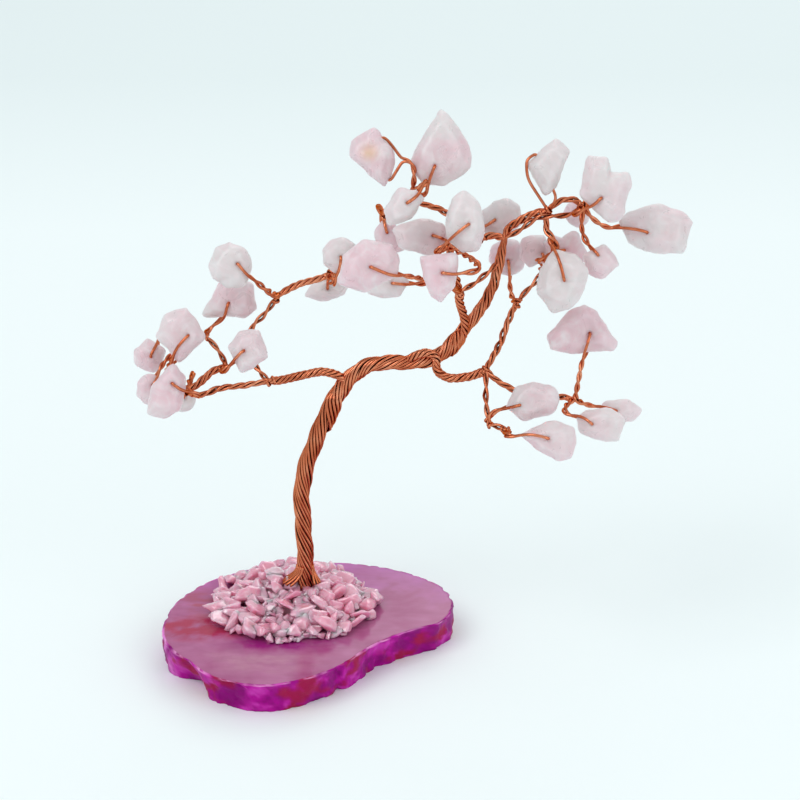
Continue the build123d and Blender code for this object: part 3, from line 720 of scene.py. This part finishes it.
def wrap_coil(mesh, line, radius, turns, seed):
    """Short coil of wire wound round the end of a bundle."""
    way = unit(line[-1] - line[-4])
    side = unit(np.cross(way, any_side(way)))
    other = np.cross(way, side)
    path = []
    centres = []
    for k in range(round(turns * COIL_STEPS) + 1):
        turn = math.tau * k / COIL_STEPS
        centres.append(line[-2] + way * (k / COIL_STEPS - turns / 2) * WIRE_R * COIL_RISE)
        sunk = max(0, 1 - k / 4, 1 - (turns * COIL_STEPS - k) / 4)
        reach = radius + wandered(seed, k * 0.21, 0.16) - 2 * WIRE_R * sunk
        path.append(centres[-1] + (side * math.cos(turn) + other * math.sin(turn)) * reach)
    mesh.tube(path, middle=np.array(centres))


TRUNK_PATH = route(TRUNK_LINE)
TRUNK_RUNS = length_along(TRUNK_PATH)
TRUNK_SHARES = TRUNK_RUNS / TRUNK_RUNS[-1]
_, TRUNK_ACROSS, TRUNK_UP = carried_frames(TRUNK_PATH, np.array((0.0, 1.0, 0.0)))
TRUNK_RADII = np.array([bundle_radius(share_of(share, TRUNK_STRANDS)) for share in TRUNK_SHARES])


def on_trunk(share, degrees, reach):
    """Point on the trunk's line and one beside it, with the degrees counted from its back."""
    place = float(np.interp(share, TRUNK_SHARES, np.arange(len(TRUNK_PATH))))
    k = min(int(place), len(TRUNK_PATH) - 2)
    turn = math.radians(degrees)
    middle = TRUNK_PATH[k] + (TRUNK_PATH[k + 1] - TRUNK_PATH[k]) * (place - k)
    return middle, middle + (TRUNK_ACROSS[k] * math.cos(turn) + TRUNK_UP[k] * math.sin(turn)) * reach


def wrap_band(mesh, shares, degrees, wires, seed):
    """Wires side by side that lie over the trunk aslant and sink into it at both ends."""
    length = TRUNK_RUNS[-1]
    radius = float(np.interp(shares[0], TRUNK_SHARES, TRUNK_RADII))
    run = (shares[1] - shares[0]) * length
    sweep = math.radians(degrees[1] - degrees[0]) * radius
    slant = math.hypot(run, sweep)
    for i in range(wires):
        beside = (i - (wires - 1) / 2) * BAND_SPACING * TRUNK_WIRE_R
        path = []
        middles = []
        for t in np.linspace(0, 1, BAND_STEPS):
            sunk = max(0, 1 - t / BAND_SINK, 1 - (1 - t) / BAND_SINK)
            share = shares[0] + (run * t - sweep / slant * beside) / length
            turn = degrees[0] + (degrees[1] - degrees[0]) * t + math.degrees(run / slant * beside / radius)
            own = float(np.interp(share, TRUNK_SHARES, TRUNK_RADII))
            reach = own + TRUNK_WIRE_R * (0.75 - 3 * sunk) + wandered(seed + i, t * 2, 0.15)
            middle, spot = on_trunk(share, turn, reach)
            path.append(spot)
            middles.append(middle)
        mesh.tube(path, TRUNK_WIRE_R, np.array(middles))


def trunk_wires():
    """Trunk: outer strands in a rope lay round a core, sinking into it where they leave for a limb."""
    mesh = Mesh()
    fills = [min(0.99, TRUNK_WIRE_R / (radius - TRUNK_WIRE_R)) for radius in TRUNK_RADII]
    room = [math.pi / math.asin(fill) for fill in fills]
    outer = math.ceil(max(room))
    order = list(range(outer))
    rng.shuffle(order)
    paths = [[] for _ in range(outer)]
    laid = 0.0
    for k, run in enumerate(TRUNK_RUNS):
        share = TRUNK_SHARES[k]
        if k:
            laid += math.tau * (run - TRUNK_RUNS[k - 1]) / share_of(share, TRUNK_LAY)
        weights = [min(1, max(0, room[k] - order[i])) for i in range(outer)]
        total = sum(weights)
        before = 0
        drawn = min(1, 0.3 + (TRUNK_RUNS[-1] - run) / 3.2)
        for i, weight in enumerate(weights):
            own = math.tau * (before + weight / 2) / total
            before += weight
            lobe = 1 + LOBE_DEPTH * math.cos(TRUNK_LOBES * own + 0.5)
            depth = weight * weight * (3 - 2 * weight)
            reach = (TRUNK_RADII[k] - TRUNK_WIRE_R) * depth * lobe * drawn + wandered(i, run * 0.12, 0.12)
            turn = own - laid + wandered(i + 40, run * 0.1, 0.14)
            side = TRUNK_ACROSS[k] * math.cos(turn) + TRUNK_UP[k] * math.sin(turn)
            paths[i].append(TRUNK_PATH[k] + side * reach)
    for path in paths:
        mesh.tube(path, TRUNK_WIRE_R * STRAND_FILL, TRUNK_PATH)
    core = np.maximum(WIRE_R, TRUNK_RADII - 2.1 * TRUNK_WIRE_R)
    for first in range(0, len(TRUNK_PATH) - CORE_SPAN, CORE_SPAN):
        last = first + CORE_SPAN + 1
        span = TRUNK_PATH[first:last]
        # The core is its own middle, so it gets painted shade all round: a near-black core seen between the
        # strands
        mesh.tube(span, min(core[first:last]) * 0.9, span, 12)
    for i, (shares, degrees, wires) in enumerate(BANDS):
        wrap_band(mesh, shares, degrees, wires, 60 + i)
    return mesh


def tie_on(mesh, name):
    """Loose pair of wires that goes with a limb or a spray, where it has one."""
    if name in TIES:
        lay_strands(mesh, route(TIES[name]), 2, STEM_PITCH, TIE_LOOSENESS, 31)


def limb_wires(name):
    """Limb: a bundle that rises out of the trunk's strands and runs to its knot."""
    knot, points = LIMBS[name]
    mesh = Mesh()
    line = route(points + [KNOTS[knot]])
    lay_strands(mesh, line, LIMB_LAY, LIMB_PITCH, 0.25, len(name), LIMB_WIRE_R)
    # The core is its own middle, so it gets painted shade all round: a near-black core seen between the
    # strands
    mesh.tube(line, 1.1 * LIMB_WIRE_R, line)
    wrap_coil(mesh, line, bundle_radius(LIMB_STRANDS) * 0.9, 1.4, len(name) + 3)
    tie_on(mesh, name)
    return mesh


def leg_profile(tree, mouth, out, bore, sign, bow, split):
    """Heights at which a bowed wire clears one side of a swinging chip, by distance from the bore."""
    profile = []
    aside = np.cross(out, bore)
    for away in LEG_PLACES:
        tops = []
        place = out * away + aside * bow * math.sin(math.pi * min(1, away / split))
        for swing in np.linspace(-ROCK - SWING_SPARE, ROCK + SWING_SPARE, SWING_STEPS):
            spot = mouth + turned(place, bore, swing)
            start = Vector((spot + bore * sign * RAY_REACH) * MM)
            hit = tree.ray_cast(start, Vector(-bore * sign))[0]
            if hit is not None:
                tops.append((np.array(hit) / MM - mouth).dot(bore) * sign)
        if tops:
            profile.append((away, max(tops)))
    return profile


def upper_hull(points):
    """Points of the taut line over the given points, from first to last."""
    hull = []
    for point in points:
        while len(hull) > 1:
            (ax, ay), (bx, by) = hull[-2], hull[-1]
            if (bx - ax) * (point[1] - ay) < (by - ay) * (point[0] - ax):
                break
            hull.pop()
        hull.append(point)
    return hull


def bent_line(start, towards, end, count):
    """Points on a curve from start to end that is drawn towards a third point."""
    share = np.linspace(0, 1, count)[:, None]
    return start * (1 - share) ** 2 + towards * 2 * share * (1 - share) + end * share ** 2


def wire_loop(legs, fork, knot, bore):
    """One wire from the knot round a chip, through its bore and straight back to the knot."""
    back = int(bore.dot(LOOP_SIDE) < 0)
    over = legs[1 - back]
    half = len(over) // 2
    rise = relaxed(respaced([knot, fork] + over[:half], WIRE_STEP), 40)
    mouth = legs[back][-2]
    lead = mouth + bore * (1 - 2 * back) * LOOP_LEAD
    fall = bent_line(mouth, lead, knot, 24)
    return relaxed(respaced(list(rise) + over[half:] + list(fall), WIRE_STEP), 6)


def twisted_pair(fork, out, end, bore, seed):
    """Two wires twisted together from a chip's fork to its knot, with longer turns where the twig bends."""
    pull = max(4 * WIRE_R, np.linalg.norm(end - fork) * TWIG_PULL)
    line = respaced(bent_line(fork, fork + out * pull, end, 60), WIRE_STEP)
    along, across, up = carried_frames(line, bore)
    runs = np.arange(len(line)) * np.linalg.norm(line[1] - line[0])
    bends = np.linalg.norm(np.gradient(along, axis=0), axis=1) / (runs[1] - runs[0])
    rates = np.clip(0.3 / np.maximum(bends, 0.01), 0.15, 1)
    twist = np.concatenate(([0], np.cumsum((rates[1:] + rates[:-1]) / 2 * np.diff(runs))))
    pair = [[], []]
    for k, run in enumerate(runs):
        turn = -math.tau * twist[k] / TWIG_PITCH + wandered(seed, run * 0.4, 0.6)
        reach = WIRE_R * (1.02 + max(0, wandered(seed + 5, run * 0.4, 1.6)) * rates[k])
        arm = (across[k] * math.cos(turn) + up[k] * math.sin(turn)) * reach
        pair[0].append(line[k] + arm)
        pair[1].append(line[k] - arm)
    return pair


def twig_wire(mesh, chip, seed):
    """One wire from the knot along the twig, through the chip's bore and back, twisted with itself."""
    yaw, leave, knot = CHIPS[chip]
    mouth = np.array(BORES[chip]["pos_m"]) / MM
    bore = unit(np.array(BORES[chip]["axis"]))
    lean = math.radians(CHIP_LEAN)
    right = turned((1, 0, 0), (0, 0, 1), yaw)
    facing = turned((0, -math.cos(lean), math.sin(lean)), (0, 0, 1), yaw)
    rise = np.cross(facing, right)
    out = right * math.cos(math.radians(leave)) + rise * math.sin(math.radians(leave))
    out = unit(out - bore * out.dot(bore))
    shape = BVHTree.FromPolygons([v.co for v in stones[chip].data.vertices],
                                 [tuple(p.vertices) for p in stones[chip].data.polygons])
    straight = [leg_profile(shape, mouth, out, bore, sign, 0, LEG_REACH) for sign in (1, -1)]
    split = max(rows[-1][0] for rows in straight) + TWIST_GAP
    legs = []
    for sign in (1, -1):
        bow = split * wandered(seed, 3 + sign, LEG_BOW)
        rows = leg_profile(shape, mouth, out, bore, sign, bow, split)
        lifted = [(away, top + WIRE_R + LEG_GAP) for away, top in rows]
        start = (0.0, lifted[0][1] + 0.05)
        taut = upper_hull([start] + [row for row in lifted if row[0] < split - 0.5] + [(split, WIRE_R)])
        line = respaced([mouth + out * away + bore * sign * height for away, height in taut], WIRE_STEP)
        share = np.linspace(0, 1, len(line))[:, None]
        line = line + np.cross(out, bore) * np.sin(math.pi * share) * bow
        legs.append(list(line[::-1]) + [mouth])
    fork = mouth + out * split
    end = above_foot(KNOTS[knot])
    if chip == LOOPED_CHIP:
        mesh.tube(wire_loop(legs, fork, end, bore))
        return
    pair = twisted_pair(fork, out, end, bore, seed)
    wire = pair[0][::-1] + legs[0] + legs[1][::-1][1:] + pair[1]
    mesh.tube(relaxed(respaced(wire, WIRE_STEP), 6))


def spray_wires(name, seed):
    """Spray: stems between knots with a coil at each knot, and the twig wires."""
    mesh = Mesh()
    for i, (begin, end, wires, points) in enumerate(SPRAYS[name]):
        line = route([KNOTS[begin]] + points + [KNOTS[end]])
        lay_strands(mesh, line, wires, STEM_PITCH, 1.1 if wires < 4 else 0.9, seed + 11 * i)
        wrap_coil(mesh, line, bundle_radius(wires) + WIRE_R * 0.6, 1.5, seed + i)
    ends = [stem[1] for stem in SPRAYS[name]]
    for k, chip in enumerate(CHIPS):
        if CHIPS[chip][2] in ends:
            twig_wire(mesh, chip, seed + k)
    tie_on(mesh, name)
    return mesh


def root_wires():
    """Fans of strands that splay from the trunk's foot over the gravel."""
    mesh = Mesh()
    radius = float(TRUNK_RADII[0])
    for heading, strands, reach in ROOT_FANS:
        for i in range(strands):
            aside = (i - (strands - 1) / 2) * ROOT_SPREAD
            far = reach * (1 - 0.12 * abs(aside) / 30) + 0.3 * rng.random()
            path = []
            middles = []
            for share in np.linspace(0, 1, 12):
                out = radius - TRUNK_WIRE_R * 0.4 + (far - radius) * share ** 1.8
                turn = math.radians(heading + aside * (1.2 - 0.2 * share) + 24 * (1 - share))
                rise = ROOT_TOP - ROOT_DROP * share ** 0.9
                path.append(above_foot((out * math.cos(turn), out * math.sin(turn), rise)))
                middles.append(above_foot((0, 0, rise - 1.5 * share)))
            mesh.tube(path, TRUNK_WIRE_R * STRAND_FILL, np.array(middles))
    return mesh


trunk_wires().piece("trunk_wires", COPPER, "tree", ["trunk"])
root_wires().piece("root_wires", COPPER, "tree", ["root_ends"])
for limb in LIMBS:
    limb_wires(limb).piece(limb + "_wires", COPPER, "tree", [limb])
for seed, spray in enumerate(SPRAYS):
    spray_wires(spray, 20 * seed + 3).piece(spray + "_wires", COPPER, "tree", [spray])


# Agate slice
def blend(first, second, share):
    """Colour between two colours."""
    share = min(1, max(0, share))
    return tuple(a + (b - a) * share for a, b in zip(first, second))


def patch(x, y, middle, width, depth):
    """How far a point of the top lies inside a soft oval patch, from 0 to 1."""
    return max(0, 1.5 - 1.5 * math.hypot((x - middle[0]) / width, (y - middle[1]) / depth))


def top_dye_and_painted_shade(x, y):
    """Colour of the polished top: mauve, magenta at the back, red stains at the left, haze in front, and a
    plum painted shade along the front of the gravel pile.
    """
    spot = Vector((x, y, 0))
    cloud = noise.fractal(spot * 0.09, 0.6, 2.0, 4)
    streak = noise.fractal(Vector((x * 0.12 - y * 0.06, x * 0.05 + y * 0.3, 4)), 0.6, 2.0, 4)
    wash = noise.fractal(Vector((x * 0.16, y * 0.3, 9)), 0.6, 2.0, 4)
    colour = blend(*MAUVES, 0.6 + cloud * 0.9)
    colour = blend(colour, BACK_MAGENTA, (y - 8) / 14 + cloud * 0.6 + max(0, x) * 0.006)
    colour = blend(colour, FRONT_HAZE, patch(x, y, (-7, -13.5), 13, 6.5) * (0.4 + 0.9 * streak))
    # Plum patch along the front of the gravel pile: painted shade
    colour = blend(colour, PILE_FRONT_SHADE_PLUM, patch(x, y, (-4, -8), 13, 4.6) * (0.75 + 0.9 * streak))
    colour = blend(colour, RED_STAIN, patch(x, y, (-18.5, -2.5), 10, 5.5) * (0.95 + 1.6 * wash))
    return blend(colour, ROSE_STAIN, patch(x, y, (-19, 7), 6, 7) * (0.35 + wash))


def rind_dye_and_painted_highlight(x, y, height):
    """Colour of the rind: saturated magenta, purple and red patches, and a painted highlight on one facet
    at the left.
    """
    spot = Vector((x, y, height * 1.3))
    tone = noise.fractal(spot * 0.22, 0.6, 2.0, 4)
    red = noise.fractal(spot * 0.17 + Vector((31, 7, 3)), 0.6, 2.0, 3)
    colour = blend(*RIND_PURPLES, 0.5 + tone * 1.3)
    colour = blend(colour, RIND_BRIGHT, tone * 2.2 - 0.5)
    colour = blend(colour, RIND_RED, red * 3 - 0.4)
    # Pale patch on the left facet of the rind: painted highlight
    return blend(colour, RIND_PAINTED_HIGHLIGHT, patch(x, y, (-24.5, -5), 6, 5) * (0.6 + 1.6 * tone))


def slice_rings():
    """Rings of the slice from the middle of its top over the edge to its underside, with rind shares."""
    corners = np.array([v.co for v in frame["nodes"]["agate_slice"].data.vertices]) / MM
    top = corners[corners[:, 2] > SLICE_T - 0.01][:, :2]
    turns = np.arctan2(top[:, 1], top[:, 0])
    keep = np.argsort(turns)
    at = np.linspace(-math.pi, math.pi, RING_CORNERS, endpoint=False)
    reach = np.interp(at, turns[keep], np.hypot(top[:, 0], top[:, 1])[keep], period=math.tau)
    ways = np.stack([np.cos(at), np.sin(at)], axis=1)
    rings = []
    for share in TOP_SHARES:
        ring = ways * ((reach - EDGE_WEAR_AND_GLINT_BAND) * share)[:, None]
        rings.append((np.column_stack((ring, np.full(RING_CORNERS, SLICE_T))), 0.0))
    for depth in RIND_DEPTHS:
        height = SLICE_T - depth
        ring = []
        for turn, way, far in zip(np.degrees(at), ways, reach):
            spot = Vector((way[0] * far, way[1] * far, height))
            fold = 0
            for middle, width, high, low in RIND_FOLDS:
                fold += math.exp(-((turn - middle) / width) ** 2) * (high + (low - high) * depth / SLICE_T)
            lump = noise.fractal(spot * 0.2, 0.7, 2.0, 4) * 0.9 - 0.35
            nick = max(0, noise.noise(spot * 0.7 + Vector((5, 1, 9)))) * 0.6 * max(0, 1 - depth / 0.9)
            worn = EDGE_WEAR_AND_GLINT_BAND if depth == 0 else 0.08 if depth < 0.2 else 0.0
            hollow = 0 if depth == 0 else -min(0, lump) * min(1, depth / 0.8)
            inset = worn + nick + hollow + fold * min(1, depth + 0.2)
            ring.append((*(way * (far - inset)), height - (nick * 0.35 if depth < 0.2 else 0)))
        ring = np.array(ring)
        ring[:, 1] += SLICE_LEAN * depth
        rings.append((ring, 1.0))
    return rings


def slice_piece():
    """Slice with a dyed polished top, a nicked edge and a lumpy rind that leans back, with painted shade, a
    painted highlight and painted glints in its colours.
    """
    rings = slice_rings()
    count = len(rings[0][0])
    points = np.concatenate([ring for ring, _ in rings] + [[(0, 0, SLICE_T), (0, SLICE_LEAN * SLICE_T, 0)]])
    rim = np.concatenate([np.full(count, share) for _, share in rings] + [[0.0, 1.0]])
    faces = []
    for k in range(len(rings) - 1):
        for i in range(count):
            j = (i + 1) % count
            faces.append((k * count + i, (k + 1) * count + i, (k + 1) * count + j, k * count + j))
    last = (len(rings) - 1) * count
    for i in range(count):
        j = (i + 1) % count
        faces.append((len(points) - 2, i, j))
        faces.append((len(points) - 1, last + j, last + i))
    mesh = Mesh()
    mesh.put(points, faces)
    piece = mesh.piece("agate_slab", AGATE, "tree", ["agate_slice"])
    lay_values(piece.data, "rim", rim)
    colours = []
    for (x, y, height), share in zip(points, rim):
        colour = rind_dye_and_painted_highlight(x, y, height) if share else top_dye_and_painted_shade(x, y)
        # Pale band just under the top edge, broken by noise: painted glints
        if SLICE_T - EDGE_WEAR_AND_GLINT_BAND < height < SLICE_T:
            colour = blend(colour, EDGE_PAINTED_GLINT, 0.35 + 1.4 * noise.noise(Vector((x, y, 2)) * 0.5))
        colours += [*colour, 1.0]
    # Dye colour on each corner, with the painted shade, highlight and glints in it
    piece.data.color_attributes.new("dye_and_painted_light", "FLOAT_COLOR", "POINT").data.foreach_set("color", colours)


slice_piece()


# Gravel
def shard(size):
    """Corners and faces of one broken chip: the hull of scattered points, worn and dented."""
    shape = bmesh.new()
    for _ in range(SHARD_POINTS):
        way = Vector([rng.gauss(0, 1) for _ in range(3)]).normalized()
        shape.verts.new(way * rng.uniform(0.46, 0.62))
    hull = bmesh.ops.convex_hull(shape, input=shape.verts)
    inside = [corner for corner in hull["geom_interior"] if isinstance(corner, bmesh.types.BMVert)]
    bmesh.ops.delete(shape, geom=inside, context="VERTS")
    bmesh.ops.triangulate(shape, faces=shape.faces[:])
    bmesh.ops.subdivide_edges(shape, edges=shape.edges[:], cuts=SHARD_CUTS, use_grid_fill=True)
    smooth_corners(shape, 1)
    bmesh.ops.recalc_face_normals(shape, faces=shape.faces)
    shape.verts.index_update()
    offset = Vector((size[0] * 9, size[1] * 7, 0))
    for corner in shape.verts:
        corner.co *= 1 + SHARD_DENTS * noise.noise(corner.co * 3.2 + offset)
    points = np.array([corner.co for corner in shape.verts]) * np.array(size)
    faces = [tuple(corner.index for corner in face.verts) for face in shape.faces]
    shape.free()
    return points, faces


def bed_height(away):
    """Height of the bed of glue at a distance from the trunk."""
    return BED_H * np.clip((BED_FOOT_R - away) / (BED_FOOT_R - BED_TOP_R), 0, 1)


def heaped(radii):
    """Middles of chips dropped round the trunk, pushed apart and settled on the bed and on each other."""
    spots = []
    for _ in radii:
        turn = rng.uniform(0, math.tau)
        away = PILE_R * math.sqrt(rng.uniform(0.01, 0.92))
        spots.append((away * math.cos(turn), away * math.sin(turn), rng.uniform(1, 5)))
    spots = np.array(spots)
    for _ in range(HEAP_ROUNDS):
        gaps = spots[:, None] - spots[None]
        apart = np.linalg.norm(gaps, axis=2) + np.eye(len(spots)) * 99
        push = np.clip(radii[:, None] + radii[None] - apart, 0, None)
        shift = (gaps / apart[:, :, None] * push[:, :, None]).sum(axis=1) * 0.3
        spots += np.clip(shift, -HEAP_STEP, HEAP_STEP)
        spots[:, 2] -= HEAP_SINK
        away = np.hypot(spots[:, 0], spots[:, 1])
        turn = np.arctan2(spots[:, 1], spots[:, 0])
        edge = PILE_R * (0.95 + 0.035 * np.cos(3 * turn + 1) + 0.025 * np.cos(7 * turn)) - radii
        held = np.clip(away, 1.45 + 0.55 * radii, edge)
        spots[:, :2] *= (held / np.maximum(away, 0.01))[:, None]
        floor = bed_height(held) + radii * 0.62
        spots[:, 2] = np.clip(spots[:, 2], floor, floor + HEAP_LIFT)
    return spots


def gravel_pile():
    """Pile of chips, thickest round the trunk, shared out among the rings that they replace."""
    rings = {name: Mesh() for name, _ in GRAVEL_RINGS}
    sizes = []
    for _ in range(PILE_CHIPS):
        long = CHIP_LEAST + CHIP_SPAN * rng.random() ** 2
        sizes.append((long, long * rng.uniform(0.62, 0.86), long * rng.uniform(0.42, 0.6)))
    sizes = np.array(sizes)
    for size, spot in zip(sizes, heaped(sizes.mean(axis=1) * 0.36)):
        points, faces = shard(size)
        spin = Matrix.Rotation(rng.uniform(0, math.tau), 3, "Z")
        spin = spin @ Matrix.Rotation(rng.gauss(0, 0.4), 3, "X")
        points = points @ np.array(spin @ Matrix.Rotation(rng.gauss(0, 0.35), 3, "Y")).T
        away = math.hypot(spot[0], spot[1])
        share = min(1, away / BED_FOOT_R)
        middle = spot[:2] + np.array(PILE_SHIFT) * share
        points += above_foot((*middle, max(spot[2], 0.02 - points[:, 2].min())))
        ring = next(name for name, limit in GRAVEL_RINGS if away < limit)
        rings[ring].put(points, faces, rng.uniform(-0.2, 0.2))
    for name, mesh in rings.items():
        mesh.piece(name + "_chips", GRAVEL, "tree", [name])


gravel_pile()
frame["nodes"]["glue_bed"].data.materials.clear()
frame["nodes"]["glue_bed"].data.materials.append(GLUE)


# Floor, light and camera
def studio():
    """Pale paper floor, soft light from three lamps and the world, and the photograph's camera."""
    bpy.ops.mesh.primitive_grid_add(x_subdivisions=FLOOR_CELLS, y_subdivisions=FLOOR_CELLS, size=FLOOR_SIZE)
    floor = bpy.context.object
    floor.name = "studio_floor"
    floor.data.materials.append(PAPER)
    scene = bpy.context.scene
    scene.view_settings.view_transform = "Standard"
    world = bpy.data.worlds.new("studio_world")
    world.use_nodes = True
    set_inputs(world.node_tree.nodes["Background"], {"Color": WORLD_COLOUR, "Strength": WORLD_STRENGTH})
    scene.world = world
    target = Vector(VIEW_TARGET) * MM
    for name, spot, power, size in LAMPS:
        light = bpy.data.lights.new(name, "AREA")
        light.energy = power
        light.size = size
        lamp = bpy.data.objects.new(name, light)
        lamp.location = spot
        lamp.rotation_euler = (target - Vector(spot)).to_track_quat("-Z", "Y").to_euler()
        scene.collection.objects.link(lamp)
    camera = bpy.data.objects.new("photo_camera", bpy.data.cameras.new("photo_camera"))
    camera.data.lens = LENS
    camera.data.sensor_width = SENSOR
    camera.data.clip_start = CLIP_START * MM
    lift = math.radians(VIEW_ELEVATION)
    camera.location = target + Vector((0, -math.cos(lift), math.sin(lift))) * VIEW_DISTANCE * MM
    camera.rotation_euler = (target - camera.location).to_track_quat("-Z", "Y").to_euler()
    scene.collection.objects.link(camera)
    scene.camera = camera


studio()
